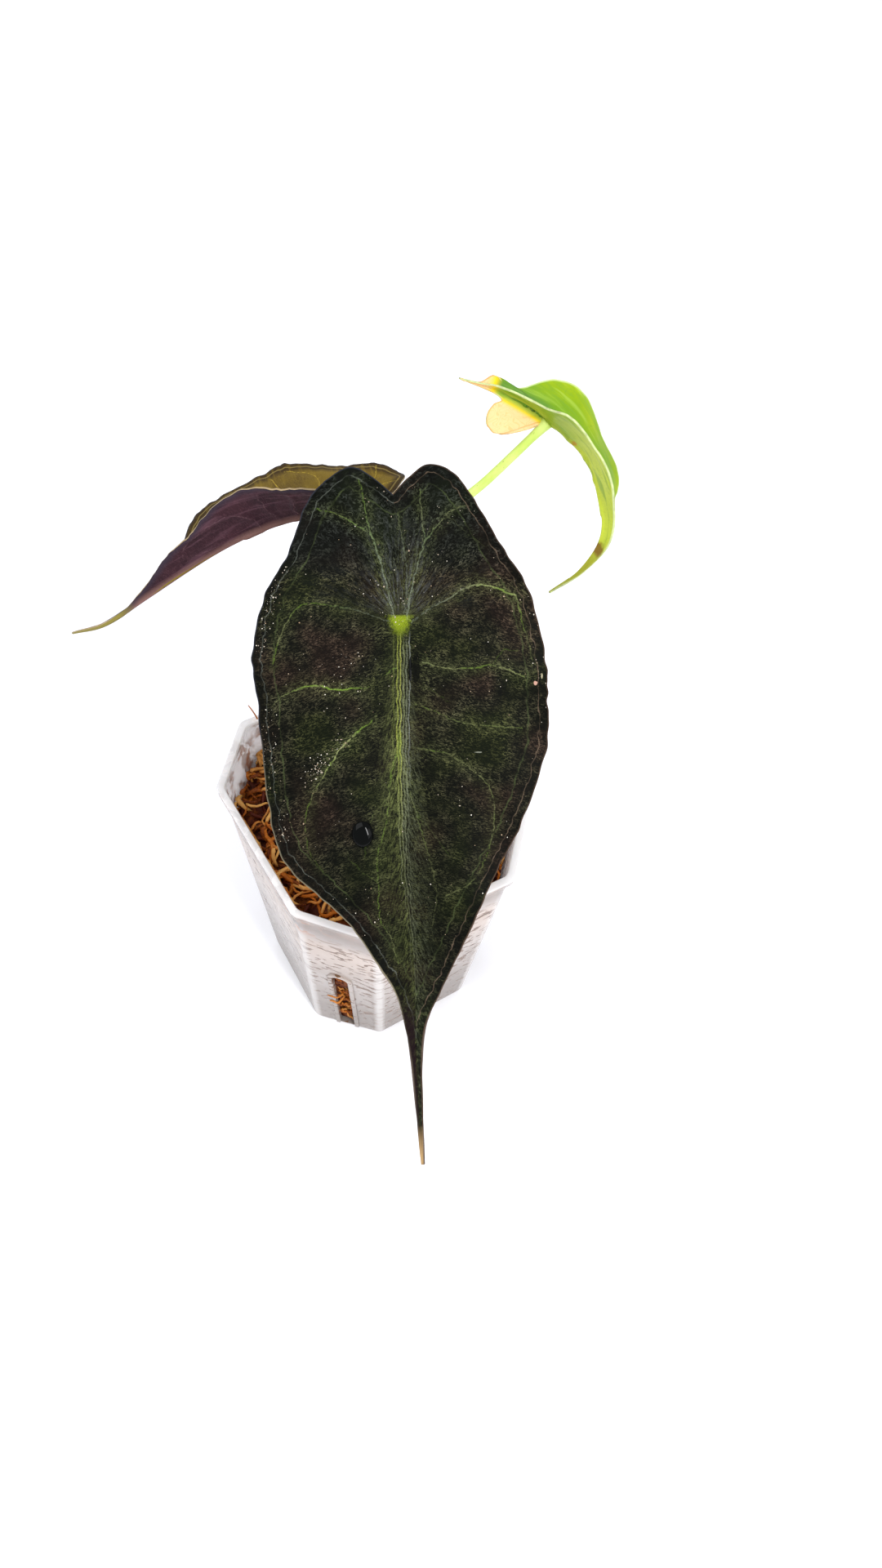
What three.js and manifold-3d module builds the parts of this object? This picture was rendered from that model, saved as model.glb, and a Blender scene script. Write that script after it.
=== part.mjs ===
// A young potted alocasia: three leaves on thin stalks, rising from a short stem that stands in
// sphagnum moss, in a clear eight-sided nursery pot. Millimetres, +Z up. The origin is the middle of
// the pot's base, on the surface it stands on, and -Y is the side that the largest leaf hangs over.
import * as THREE from 'three';
import { mergeVertices } from 'three/addons/utils/BufferGeometryUtils.js';
import Module from 'manifold-3d';

const wasm = await Module();
wasm.setup();

// Driving dimensions
const GAP = 0.3; // left between pieces that touch
const POT = {
  height: 78,
  baseFlat: 25, // from the middle to each of the four wide sides, at the base
  baseCorner: 26.5, // from the middle to each of the four narrow sides, at the base
  rimFlat: 31.2,
  rimCorner: 34.6,
  wall: 1,
  floor: 1.4,
  edgeEase: 0.8, // how far each upright edge is eased along the sides
  footEase: 0.8, // how far the bottom edge is eased inward and upward
  turn: THREE.MathUtils.degToRad(-147), // heading of the first wide side
  squash: 0.12, // how far the soft rim is pressed out of round
  squashHeading: THREE.MathUtils.degToRad(50),
  lipHeight: 2.6,
  lipOut: 1.1,
  lipEase: 0.4,
};
const SLOT = {
  width: 3.9,
  bottom: POT.floor,
  top: 41,
  frame: 1.2, // width of the moulded frame round each slot
  frameOut: 0.6, // how far that frame stands out of the wall
  depth: 20, // of the cut, enough to pass the wall at every height
};
const MOSS = {
  top: 66, // height at the middle
  rise: 4,
  riseX: -0.35, // share of the rise at the rim towards +X, and towards +Y
  riseY: -0.25,
  lump: 1.5,
  lumpTurn: 0.6, // radians of the lumps' waves in a millimetre
  rings: 9,
  around: 40,
  seed: 7,
};
const STRANDS = {
  count: 34,
  nearest: 12, // from the middle of the pot
  furthest: 27,
  radius: 0.75,
  tipRadius: 0.45,
  length: 5,
  lengthSpread: 5,
  lift: 2.5,
  liftSpread: 3,
  sunk: 1.2, // how deep both ends lie in the moss
  curl: 1, // radians that a strand turns from end to end
  steps: 4,
  sides: 4,
};
const STEM = { bottom: 46, top: 71, radius: 6, socketDepth: 7, sides: 14 };
const STALK = {
  sides: 8,
  rings: 16,
  taper: 0.35, // share of the swelling that runs out evenly along the whole stalk
  footShare: 1 / 3, // share of the length that the rest of it runs out in
};
const BLADE = {
  thickness: 0.8,
  midrib: 0.55,
  vein: 0.3,
  veinEnd: 0.95, // where a vein ends, as a share of the way to the margin
  upperShare: 0.3, // how much of a rib shows on the upper face
  waveTurn: 2.1, // radians of the margin's wave from one row to the next
  calmWidth: 6, // a half narrower than this waves less
};
const FLAT_TURN = 1e-5; // radians in a millimetre, for a leaf half with no curl
const BOW_OUT = 0.65; // where along its way out a leaf's row bows most
const MERGE = 1e-4; // points nearer than this are one

// A leaf's rows fan out from the place where its stalk joins it, then follow its midrib to the tip.
// Each row: start along the midrib, its left end (along, out), its right end (along, out), and how
// far along the row bows before it reaches its ends. The first seven rows make the two back lobes.
const LOBE_ROWS = 6;
const FRONT_ROWS = [
  [0, -23.7, 0, -23.7, 0, -12],
  [0, -26.4, -2.9, -26.6, 3.2, -12],
  [0, -29.2, -7.2, -28.8, 6.6, -13],
  [0, -27.6, -11.4, -26.4, 10.8, -13],
  [0, -23, -15.4, -20.5, 14.6, -12],
  [0, -14.5, -19.3, -12.5, 18.8, -9],
  [0, -6.5, -23.8, -5.5, 22.9, -7],
  [4, 5, -26.2, 6, 25.9, -1],
  [8, 14, -25.3, 12.5, 26.3, 0.5],
  [14.5, 31, -23.9, 22, 26, 2.5],
  [22, 40, -21.6, 36, 21.2, 3.5],
  [30, 46.5, -16, 43.5, 17.3, 4.5],
  [40, 53, -10.8, 51.5, 12.8, 5],
  [50, 60, -6.9, 59, 8.7, 5],
  [61, 67, -3.8, 67, 4.8, 4],
  [71, 74, -2.2, 74, 2, 2],
  [82, 83, -1.2, 83, 1, 0.5],
  [95, 95, -0.8, 95, 0.7, 0],
  [108.5, 108.5, -0.35, 108.5, 0.35, 0],
];
const RIGHT_ROWS = [
  [0, -2.5, 0, -2.5, 0, -1],
  [0, -6.5, -0.8, -7.5, 1.1, -3],
  [0, -10, -1.7, -14.6, 2.3, -5],
  [0, -11.5, -4.4, -11.3, 3.7, -5],
  [0, -10.2, -7.9, -8.5, 5.2, -4],
  [0, -6.9, -10.3, -5, 7.3, -3],
  [0, -2.8, -11, -1.6, 8.9, -1],
  [2.4, 1.6, -11, 2.8, 9.7, 0],
  [6.5, 7.3, -11, 7.7, 9.9, 0.5],
  [11.3, 12.2, -10.3, 12.6, 9.4, 1],
  [16.2, 17.4, -8.4, 17.8, 8, 1],
  [21.9, 22.7, -5.5, 23.1, 6, 1],
  [27.5, 28.4, -3.5, 28.4, 4, 1],
  [34, 34.4, -1.8, 34.4, 2, 0.5],
  [40.5, 40.5, -0.9, 40.5, 0.9, 0],
  [48.6, 48.6, -0.35, 48.6, 0.35, 0],
];
// The left leaf has the front leaf's outline, smaller, with a wide back half and a narrow front half.
const LEFT_LENGTH = 0.568;
const LEFT_LOBE_LENGTH = 0.629;
const LEFT_BACK_WIDTH = 0.567;
const LEFT_FRONT_WIDTH = 0.366;
const leftAlong = (along) => along * (along < 0 ? LEFT_LOBE_LENGTH : LEFT_LENGTH);
const LEFT_ROWS = FRONT_ROWS.map(([start, leftEnd, leftOut, rightEnd, rightOut, bow]) => [
  leftAlong(start), leftAlong(leftEnd), leftOut * LEFT_BACK_WIDTH,
  leftAlong(rightEnd), rightOut * LEFT_FRONT_WIDTH, bow * LEFT_LENGTH,
]);

// Where each midrib runs. Each station: distance along the midrib, its place, the way that the
// leaf's right half points there, and how many degrees the left and right halves are folded up.
const LEAVES = {
  leaf_front: {
    rows: FRONT_ROWS,
    stations: [
      [-30, 2.1, 26.2, 153.7, 1, 0, 0, 9, 9],
      [-12, 4.9, 9.6, 147.2, 1, 0, 0, 9, 9],
      [0, 6, -1.2, 142.1, 1, 0, 0, 9, 9],
      [20, 7.3, -18.1, 131.6, 1, 0, 0, 9, 9],
      [40, 9.1, -33.9, 119.5, 1, 0, 0, 9, 9],
      [60, 12.1, -48, 105.7, 1, 0, 0, 12, 12],
      [80, 13.8, -60.3, 90, 1, 0, 0, 20, 20],
      [100, 15.6, -71.3, 73.4, 1, 0, 0, 25, 25],
      [108.5, 16.4, -75.8, 66.2, 1, 0, 0, 25, 25],
    ],
    curl: -0.85, // degrees that the halves turn down for each millimetre out from the midrib
    wave: 0.9,
    steps: [0, 0.2, 0.8],
    across: [0, 0.05, 0.22, 0.4, 0.58, 0.75, 0.9, 1],
    veinRows: [2, 4, 6, 8, 9, 10, 11, 12, 13],
    look: { color: 0x2b2f20, roughness: 0.42, metalness: 0 },
  },
  leaf_left: {
    rows: LEFT_ROWS,
    stations: [
      [-18, 5, 34, 139, 0, -0.89, 0.45, 23, 7],
      [0, -12.1, 28, 137.2, 0, -0.75, 0.66, 40, 30],
      [11.4, -21.5, 24.5, 135.8, 0, -0.6, 0.8, 54, 46],
      [22.7, -31.3, 20, 132.1, 0, -0.5, 0.87, 61, 53],
      [36.9, -43.7, 13.6, 126.3, 0, -0.51, 0.86, 58, 57],
      [61.6, -62.4, 15.7, 110.5, 0, -0.54, 0.84, 54, 61],
    ],
    curl: 0,
    wave: 0.5,
    steps: [0, 0.5],
    across: [0, 0.1, 0.3, 0.55, 0.8, 1],
    veinRows: [2, 4, 6, 8, 10, 12],
    look: { color: 0x5a3f3c, roughness: 0.45, metalness: 0 },
  },
  leaf_right: {
    rows: RIGHT_ROWS,
    stations: [
      [-13.8, 16.3, 48.6, 152, 0.5, 0.42, -0.86, -93, 34],
      [-4.9, 25.2, 49.3, 147.6, 0.4, 0.42, -0.86, -19, 52],
      [0, 30.9, 45.9, 147.4, 0.33, 0.42, -0.86, 5, 70],
      [9.7, 38.4, 40.7, 143.7, 0.2, 0.42, -0.86, 8, 36],
      [19.4, 41.4, 34.3, 140.2, 0.1, 0.42, -0.86, 16, 32],
      [29.1, 42.4, 28.6, 135.1, -0.03, 0.42, -0.86, 40, 42],
      [38.9, 39.7, 28.1, 125.9, -0.15, 0.42, -0.86, 45, 48],
      [48.6, 35.9, 29.8, 117.1, -0.26, 0.42, -0.86, 45, 54],
    ],
    curl: 0,
    wave: 0.35,
    steps: [0, 0.5],
    across: [0, 0.1, 0.3, 0.55, 0.8, 1],
    veinRows: [2, 4, 6, 8, 10],
    look: { color: 0xa9cc38, roughness: 0.5, metalness: 0 },
  },
};

// Each stalk: the leaf it carries, its route below that leaf, and its radius at the foot and the top.
const STALKS = {
  stalk_front: {
    leaf: 'leaf_front',
    route: [[2.2, -1.8, 64.5], [2.4, -1.2, 78], [3, 0.8, 98], [4.2, 2.6, 118], [5.4, 2.4, 132]],
    foot: 1.7,
    top: 0.85,
    look: { color: 0x8fae4a, roughness: 0.5, metalness: 0 },
  },
  stalk_left: {
    leaf: 'leaf_left',
    route: [[-2.5, 0.9, 64.5], [-3, 2, 78], [-4.6, 6.6, 96], [-7, 14, 113], [-9.8, 21.6, 127]],
    foot: 1.6,
    top: 0.75,
    look: { color: 0x93a94c, roughness: 0.5, metalness: 0 },
  },
  stalk_right: {
    leaf: 'leaf_right',
    route: [
      [1.3, 2.7, 64.5], [1.7, 4.4, 78], [2.6, 13, 98],
      [5.4, 26, 117], [11.5, 35.5, 128.9], [20.6, 40.9, 136.7],
    ],
    foot: 1.6,
    top: 0.7,
    look: { color: 0xbfdc62, roughness: 0.45, metalness: 0 },
  },
};

// A seeded draw, so that the moss comes out the same each time.
function seeded(seed) {
  let state = seed;
  return () => {
    state = (state * 16807) % 2147483647;
    return state / 2147483647;
  };
}

// A smooth curve through values at uneven knots, for a list of columns at once.
function smooth(knots, values, at) {
  const last = knots.length - 1;
  let i = 0;
  while (i < last - 1 && at > knots[i + 1]) i += 1;
  const slope = (k, c) => {
    const a = Math.max(k - 1, 0);
    const b = Math.min(k + 1, last);
    return (values[b][c] - values[a][c]) / (knots[b] - knots[a]);
  };
  const span = knots[i + 1] - knots[i];
  const t = THREE.MathUtils.clamp((at - knots[i]) / span, 0, 1);
  const beyond = at - THREE.MathUtils.clamp(at, knots[0], knots[last]);
  return values[0].map((_, c) => {
    const from = values[i][c];
    const to = values[i + 1][c];
    const leave = slope(i, c) * span;
    const arrive = slope(i + 1, c) * span;
    const bend = (2 * from - 2 * to + leave + arrive) * t + (3 * to - 3 * from - 2 * leave - arrive);
    return (bend * t + leave) * t + from + beyond * slope(beyond < 0 ? 0 : last, c);
  });
}

// The midrib's place and directions at a distance along it.
function midribFrame(leaf, along) {
  const knots = leaf.stations.map((station) => station[0]);
  const values = leaf.stations.map((station) => station.slice(1));
  const step = 0.05;
  const here = smooth(knots, values, along);
  const ahead = smooth(knots, values, along + step);
  const behind = smooth(knots, values, along - step);
  const forward = new THREE.Vector3(ahead[0] - behind[0], ahead[1] - behind[1], ahead[2] - behind[2]);
  forward.normalize();
  const right = new THREE.Vector3(here[3], here[4], here[5]);
  right.addScaledVector(forward, -right.dot(forward)).normalize();
  const up = new THREE.Vector3().crossVectors(forward, right);
  const place = new THREE.Vector3(here[0], here[1], here[2]);
  return { place, forward, right, up, foldLeft: here[6], foldRight: here[7] };
}

// A point of the leaf's mid surface: along the midrib, and out from it to the left or right. Each half
// leaves the midrib at its fold and follows an arc whose turn grows with the distance out.
function leafPoint(leaf, along, out) {
  const rib = midribFrame(leaf, along);
  const fold = THREE.MathUtils.degToRad(out < 0 ? rib.foldLeft : rib.foldRight);
  const turn = THREE.MathUtils.degToRad(leaf.curl) || FLAT_TURN;
  const reach = Math.abs(out);
  const sideways = (Math.sin(fold + turn * reach) - Math.sin(fold)) / turn;
  const upward = (Math.cos(fold) - Math.cos(fold + turn * reach)) / turn;
  return rib.place.addScaledVector(rib.right, sideways * Math.sign(out)).addScaledVector(rib.up, upward);
}

// A row of the leaf, as a bowed line from the midrib to the margin.
function rowPoint(row, side, t) {
  const end = side < 0 ? [row[1], row[2]] : [row[3], row[4]];
  const bowAlong = row[0] + row[5];
  const bowOut = end[1] * BOW_OUT;
  const back = (1 - t) * (1 - t);
  const middle = 2 * t * (1 - t);
  return [back * row[0] + middle * bowAlong + t * t * end[0], middle * bowOut + t * t * end[1]];
}

// A leaf blade: its mid surface as a fan of rows, given thickness, with the midrib and the main veins
// standing out of its underside and, less, out of its upper face.
function bladeGeometry(leaf) {
  const numbers = leaf.rows.map((_, i) => i);
  const levels = [];
  numbers.slice(0, -1).forEach((i) => leaf.steps.forEach((step) => levels.push(i + step)));
  levels.push(numbers.length - 1);
  const points = [];
  const extra = [];
  const index = new Map();
  const vertex = (point, rib) => {
    const key = point.toArray().map((v) => Math.round(v / MERGE)).join();
    if (!index.has(key)) {
      index.set(key, points.length);
      points.push(point);
      extra.push(rib);
    }
    return index.get(key);
  };
  const triangles = [];
  [-1, 1].forEach((side) => {
    const grid = levels.map((level) => {
      const row = smooth(numbers, leaf.rows, level);
      if (level <= LOBE_ROWS) row[0] = 0;
      const onVein = leaf.veinRows.includes(level);
      return leaf.across.map((t) => {
        const [along, out] = rowPoint(row, side, t);
        const point = leafPoint(leaf, along, out);
        const margin = t * t * t * leaf.wave * Math.min(1, Math.abs(out) / BLADE.calmWidth);
        const wave = Math.sin(level * BLADE.waveTurn + side);
        point.addScaledVector(midribFrame(leaf, along).up, margin * wave);
        const fade = Math.sqrt(1 - level / numbers.length);
        const midrib = t === 0 && level >= LOBE_ROWS ? BLADE.midrib * fade : 0;
        return vertex(point, Math.max(midrib, onVein && t < BLADE.veinEnd ? BLADE.vein : 0));
      });
    });
    for (let i = 0; i < grid.length - 1; i += 1) {
      for (let j = 0; j < leaf.across.length - 1; j += 1) {
        const a = grid[i][j];
        const b = grid[i][j + 1];
        const c = grid[i + 1][j + 1];
        const d = grid[i + 1][j];
        const faces = side > 0 ? [[a, d, c], [a, c, b]] : [[a, c, d], [a, b, c]];
        faces.forEach((face) => {
          if (new Set(face).size === 3) triangles.push(face);
        });
      }
    }
  });
  return thickened(points, triangles, extra);
}

// A closed solid from an open sheet: both faces split alike, joined round the sheet's edge.
function thickened(points, triangles, extra) {
  const normals = points.map(() => new THREE.Vector3());
  triangles.forEach(([a, b, c]) => {
    const normal = new THREE.Triangle(points[a], points[b], points[c]).getNormal(new THREE.Vector3());
    [a, b, c].forEach((i) => normals[i].add(normal));
  });
  normals.forEach((normal) => normal.normalize());
  const half = BLADE.thickness / 2;
  const face = (offset) => points.flatMap((point, i) => {
    return point.clone().addScaledVector(normals[i], offset(extra[i])).toArray();
  });
  const upper = face((rib) => half + rib * BLADE.upperShare);
  const under = face((rib) => -half - rib);
  const count = points.length;
  const indices = [];
  const edges = new Map();
  triangles.forEach(([a, b, c]) => {
    indices.push(a, b, c, a + count, c + count, b + count);
    [[a, b], [b, c], [c, a]].forEach(([from, to]) => edges.set(`${from}_${to}`, [from, to]));
  });
  edges.forEach(([from, to]) => {
    if (edges.has(`${to}_${from}`)) return;
    indices.push(from, from + count, to, to, from + count, to + count);
  });
  return indexed([...upper, ...under], indices);
}

function indexed(positions, indices) {
  const geometry = new THREE.BufferGeometry();
  geometry.setAttribute('position', new THREE.Float32BufferAttribute(positions, 3));
  geometry.setIndex(indices);
  return geometry;
}

// A stack of rings with the same number of points, closed by a fan at each end. The rings run
// anticlockwise seen from the end that the stack runs to.
function stacked(rings) {
  const around = rings[0].length;
  const middle = (ring) => ring.reduce((sum, p) => sum.add(p), new THREE.Vector3()).divideScalar(around);
  const positions = rings.flat().flatMap((p) => p.toArray());
  positions.push(...middle(rings[0]).toArray(), ...middle(rings[rings.length - 1]).toArray());
  const first = rings.length * around;
  const top = (rings.length - 1) * around;
  const indices = [];
  for (let i = 0; i < around; i += 1) {
    const next = (i + 1) % around;
    indices.push(first, next, i, first + 1, top + i, top + next);
    for (let r = 0; r < rings.length - 1; r += 1) {
      const a = r * around + i;
      const b = r * around + next;
      indices.push(a, b, b + around, a, b + around, a + around);
    }
  }
  return indexed(positions, indices);
}

// An eight-sided outline with eased edges, from how far its wide and narrow sides are from the middle.
function eightSided(flat, corner) {
  const sides = 8;
  const eighth = (2 * Math.PI) / sides;
  const corners = Array.from({ length: sides }, (_, k) => {
    const heading = POT.turn + k * eighth;
    const next = heading + eighth;
    const near = k % 2 ? corner : flat;
    const far = k % 2 ? flat : corner;
    const x = (near * Math.sin(next) - far * Math.sin(heading)) / Math.sin(eighth);
    const y = (far * Math.cos(heading) - near * Math.cos(next)) / Math.sin(eighth);
    return new THREE.Vector3(x, y, 0);
  });
  return corners.flatMap((point, k) => [-1, 1].map((side) => {
    const other = corners[(k + side + sides) % sides];
    return point.clone().addScaledVector(other.clone().sub(point).normalize(), POT.edgeEase);
  }));
}

// The pot's outline at a height, moved outward by a margin. The soft rim is pressed out of round.
function potOutline(height, margin) {
  const base = eightSided(POT.baseFlat + margin, POT.baseCorner + margin);
  const rim = eightSided(POT.rimFlat + margin, POT.rimCorner + margin);
  const press = new THREE.Vector3(Math.cos(POT.squashHeading), Math.sin(POT.squashHeading), 0);
  return base.map((point, i) => {
    const above = rim[i].addScaledVector(press, -POT.squash * rim[i].dot(press));
    const placed = point.lerp(above, height / POT.height);
    placed.z = height;
    return placed;
  });
}

// A solid from a closed geometry, and back.
function solid(geometry) {
  const bare = geometry.clone();
  bare.deleteAttribute('normal');
  bare.deleteAttribute('uv');
  const merged = mergeVertices(bare, MERGE);
  const vertProperties = new Float32Array(merged.attributes.position.array);
  const triVerts = new Uint32Array(merged.index.array);
  return new wasm.Manifold(new wasm.Mesh({ numProp: 3, vertProperties, triVerts }));
}

function geometryOf(manifold) {
  const mesh = manifold.getMesh();
  return indexed(Array.from(mesh.vertProperties), Array.from(mesh.triVerts));
}

// A round-topped prism over one slot of the pot, wider by a margin, pointing out of a narrow side.
function slotPrism(side, margin) {
  const shape = new THREE.Shape();
  const radius = SLOT.width / 2 + margin;
  const spring = SLOT.top + margin - radius;
  shape.moveTo(-radius, SLOT.bottom);
  shape.lineTo(radius, SLOT.bottom);
  shape.lineTo(radius, spring);
  shape.absarc(0, spring, radius, 0, Math.PI, false);
  shape.closePath();
  const options = { depth: SLOT.depth, bevelEnabled: false, curveSegments: 6 };
  const geometry = new THREE.ExtrudeGeometry(shape, options);
  const heading = POT.turn + ((2 * side + 1) * Math.PI) / 4;
  const out = new THREE.Vector3(Math.cos(heading), Math.sin(heading), 0);
  const up = new THREE.Vector3(0, 0, 1);
  const across = new THREE.Vector3().crossVectors(up, out);
  const placed = new THREE.Matrix4().makeBasis(across, up, out);
  placed.setPosition(out.clone().multiplyScalar(POT.baseCorner - SLOT.depth / 2));
  geometry.applyMatrix4(placed);
  return solid(geometry);
}

// The clear pot: tapered walls, a floor, a lip round the rim, and a framed slot in each narrow side.
function potGeometry() {
  const { height, wall, floor, footEase, lipHeight, lipOut, lipEase } = POT;
  const rings = [
    [0, -footEase], [footEase, 0], [height - lipHeight, 0], [height - lipHeight + lipEase, lipOut],
    [height - lipEase, lipOut], [height, lipOut - lipEase], [height, lipEase - wall],
    [height - lipEase, -wall], [floor, -wall],
  ];
  let pot = solid(stacked(rings.map(([z, margin]) => potOutline(z, margin))));
  const reach = SLOT.top + 2 * SLOT.frame;
  const outer = [SLOT.bottom, reach].map((z) => potOutline(z, SLOT.frameOut));
  const inner = [0, reach + 1].map((z) => potOutline(z, -wall / 2));
  const skin = solid(stacked(outer)).subtract(solid(stacked(inner)));
  for (let side = 0; side < 4; side += 1) {
    pot = pot.add(skin.intersect(slotPrism(side, SLOT.frame)));
    pot = pot.subtract(slotPrism(side, 0));
  }
  return geometryOf(pot);
}

// A stalk with a round section that tapers along a smooth route, fattest at its foot.
function stalkGeometry(route, footRadius, topRadius, rings) {
  const curve = new THREE.CatmullRomCurve3(route.map((p) => new THREE.Vector3(...p)), false, 'centripetal');
  const frames = curve.computeFrenetFrames(rings, false);
  const stack = [];
  for (let i = 0; i <= rings; i += 1) {
    const share = i / rings;
    const swell = Math.max(0, 1 - share / STALK.footShare) ** 2;
    const fatter = STALK.taper * (1 - share) + (1 - STALK.taper) * swell;
    const radius = THREE.MathUtils.lerp(topRadius, footRadius, fatter);
    const centre = curve.getPointAt(share);
    stack.push(Array.from({ length: STALK.sides }, (_, k) => {
      const angle = (k * 2 * Math.PI) / STALK.sides;
      return centre.clone()
        .addScaledVector(frames.normals[i], radius * Math.cos(angle))
        .addScaledVector(frames.binormals[i], radius * Math.sin(angle));
    }));
  }
  return stacked(stack);
}

// A stalk's whole route: its own points, then up to just under its leaf's midrib. Its end slants
// away from the leaf's underside, which takes about a third of its radius.
function stalkRoute({ leaf, route, top }) {
  const joint = midribFrame(LEAVES[leaf], 0);
  const below = BLADE.thickness / 2 + BLADE.midrib + GAP + top / 3;
  const end = joint.place.clone().addScaledVector(joint.up, -below);
  return [...route, end.toArray()];
}

// The short stem: a ringed stump with a socket for the foot of each stalk.
function stemGeometry() {
  const { bottom, top, radius, socketDepth } = STEM;
  const rise = top - bottom;
  const profile = [
    [0, 0], [0.5, 0], [0.8, 0.15], [1, 0.45], [0.94, 0.55], [1, 0.65], [0.93, 0.74], [0.97, 0.83],
    [0.9, 0.93], [0.84, 1], [0, 1],
  ].map(([out, up]) => new THREE.Vector2(out * radius, bottom + up * rise));
  const geometry = new THREE.LatheGeometry(profile, STEM.sides);
  geometry.rotateX(Math.PI / 2);
  let stem = solid(geometry);
  Object.values(STALKS).forEach(({ route, foot }) => {
    const [x, y] = route[0];
    const socket = stalkGeometry([[x, y, top - socketDepth], route[1]], foot + GAP, foot + GAP, 2);
    stem = stem.subtract(solid(socket));
  });
  return geometryOf(stem);
}

// A point on the inside of the pot, a gap clear of its wall: share is the way round, from 0 to 1.
function insidePot(share, z) {
  const outline = potOutline(z, -POT.wall - GAP);
  const place = share * outline.length;
  const from = outline[Math.floor(place) % outline.length];
  const to = outline[(Math.floor(place) + 1) % outline.length];
  return from.clone().lerp(to, place % 1);
}

// The height of the moss: higher at the front left, lower at the back and right, lumpy all over.
function mossHeight(x, y, draw) {
  const tilt = (MOSS.riseX * x + MOSS.riseY * y) / POT.rimFlat;
  const turn = MOSS.lumpTurn;
  const lumps = Math.sin(x * turn + 1) * Math.cos(y * turn) + Math.sin((x * 3 - y * 4) * turn * 0.5) / 2;
  return MOSS.top + MOSS.rise * tilt + MOSS.lump * (lumps / 2 + draw - 0.5);
}

// One strand of moss: a thin curl that leaves the surface, arches over and dips back into it.
function mossStrand(start, heading, length, lift) {
  const { steps, sides, curl, sunk, radius, tipRadius } = STRANDS;
  const rings = Array.from({ length: steps + 1 }, (_, i) => {
    const share = i / steps;
    const way = heading + curl * share;
    const ahead = new THREE.Vector3(Math.cos(way), Math.sin(way), 0);
    const centre = start.clone().addScaledVector(ahead, length * share);
    centre.z += Math.sin(share * Math.PI) * lift - sunk;
    const side = new THREE.Vector3(-ahead.y, ahead.x, 0);
    const up = new THREE.Vector3(0, 0, 1).addScaledVector(ahead, -Math.cos(share * Math.PI)).normalize();
    const thick = THREE.MathUtils.lerp(radius, tipRadius, share);
    return Array.from({ length: sides }, (__, k) => {
      const angle = (k * 2 * Math.PI) / sides;
      return centre.clone()
        .addScaledVector(side, thick * Math.cos(angle))
        .addScaledVector(up, thick * Math.sin(angle));
    });
  });
  return solid(stacked(rings));
}

// The moss that fills the pot, with loose strands on it and a plain hole for the stem.
function mossGeometry() {
  const random = seeded(MOSS.seed);
  const shares = Array.from({ length: MOSS.around }, (_, i) => i / MOSS.around);
  const level = (z) => shares.map((share) => insidePot(share, z));
  const rim = shares.map((share) => {
    const edge = insidePot(share, MOSS.top);
    return insidePot(share, mossHeight(edge.x, edge.y, random()));
  });
  const underRim = MOSS.top - MOSS.rise - MOSS.lump;
  const rings = [level(POT.floor + GAP), level(MOSS.top / 2), level(underRim), rim];
  for (let r = 1; r < MOSS.rings; r += 1) {
    const inward = 1 - r / MOSS.rings;
    rings.push(rim.map((edge) => {
      const x = edge.x * inward;
      const y = edge.y * inward;
      return new THREE.Vector3(x, y, mossHeight(x, y, random()));
    }));
  }
  let moss = solid(stacked(rings));
  const inside = solid(stacked([level(MOSS.top / 2), level(POT.height)]));
  for (let i = 0; i < STRANDS.count; i += 1) {
    const angle = random() * Math.PI * 2;
    const reach = THREE.MathUtils.lerp(STRANDS.nearest, STRANDS.furthest, random());
    const x = Math.cos(angle) * reach;
    const y = Math.sin(angle) * reach;
    const start = new THREE.Vector3(x, y, mossHeight(x, y, 0.5));
    const heading = random() * Math.PI * 2;
    const length = STRANDS.length + random() * STRANDS.lengthSpread;
    const lift = STRANDS.lift + random() * STRANDS.liftSpread;
    moss = moss.add(mossStrand(start, heading, length, lift).intersect(inside));
  }
  const depth = POT.height - STEM.bottom;
  const wellRadius = STEM.radius + GAP;
  const well = new THREE.CylinderGeometry(wellRadius, wellRadius, depth, STEM.sides);
  well.rotateX(Math.PI / 2);
  well.translate(0, 0, STEM.bottom - GAP + depth / 2);
  moss = moss.subtract(solid(well));
  return geometryOf(moss);
}

function piece(name, geometry, look) {
  const mesh = new THREE.Mesh(geometry, new THREE.MeshStandardMaterial(look));
  mesh.name = name;
  return mesh;
}

const plant = new THREE.Group();
plant.add(piece('pot', potGeometry(), { color: 0xdcd7d2, roughness: 0.25, metalness: 0 }));
plant.add(piece('moss', mossGeometry(), { color: 0xb06a24, roughness: 0.95, metalness: 0 }));
plant.add(piece('stem', stemGeometry(), { color: 0x7d6a45, roughness: 0.8, metalness: 0 }));
Object.entries(STALKS).forEach(([name, stalk]) => {
  const geometry = stalkGeometry(stalkRoute(stalk), stalk.foot, stalk.top, STALK.rings);
  plant.add(piece(name, geometry, stalk.look));
});
Object.entries(LEAVES).forEach(([name, leaf]) => {
  plant.add(piece(name, bladeGeometry(leaf), leaf.look));
});

export default plant;
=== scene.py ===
import math
from types import SimpleNamespace

import bpy
import numpy as np
from mathutils import Matrix, Vector, noise
from mathutils.kdtree import KDTree


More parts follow.
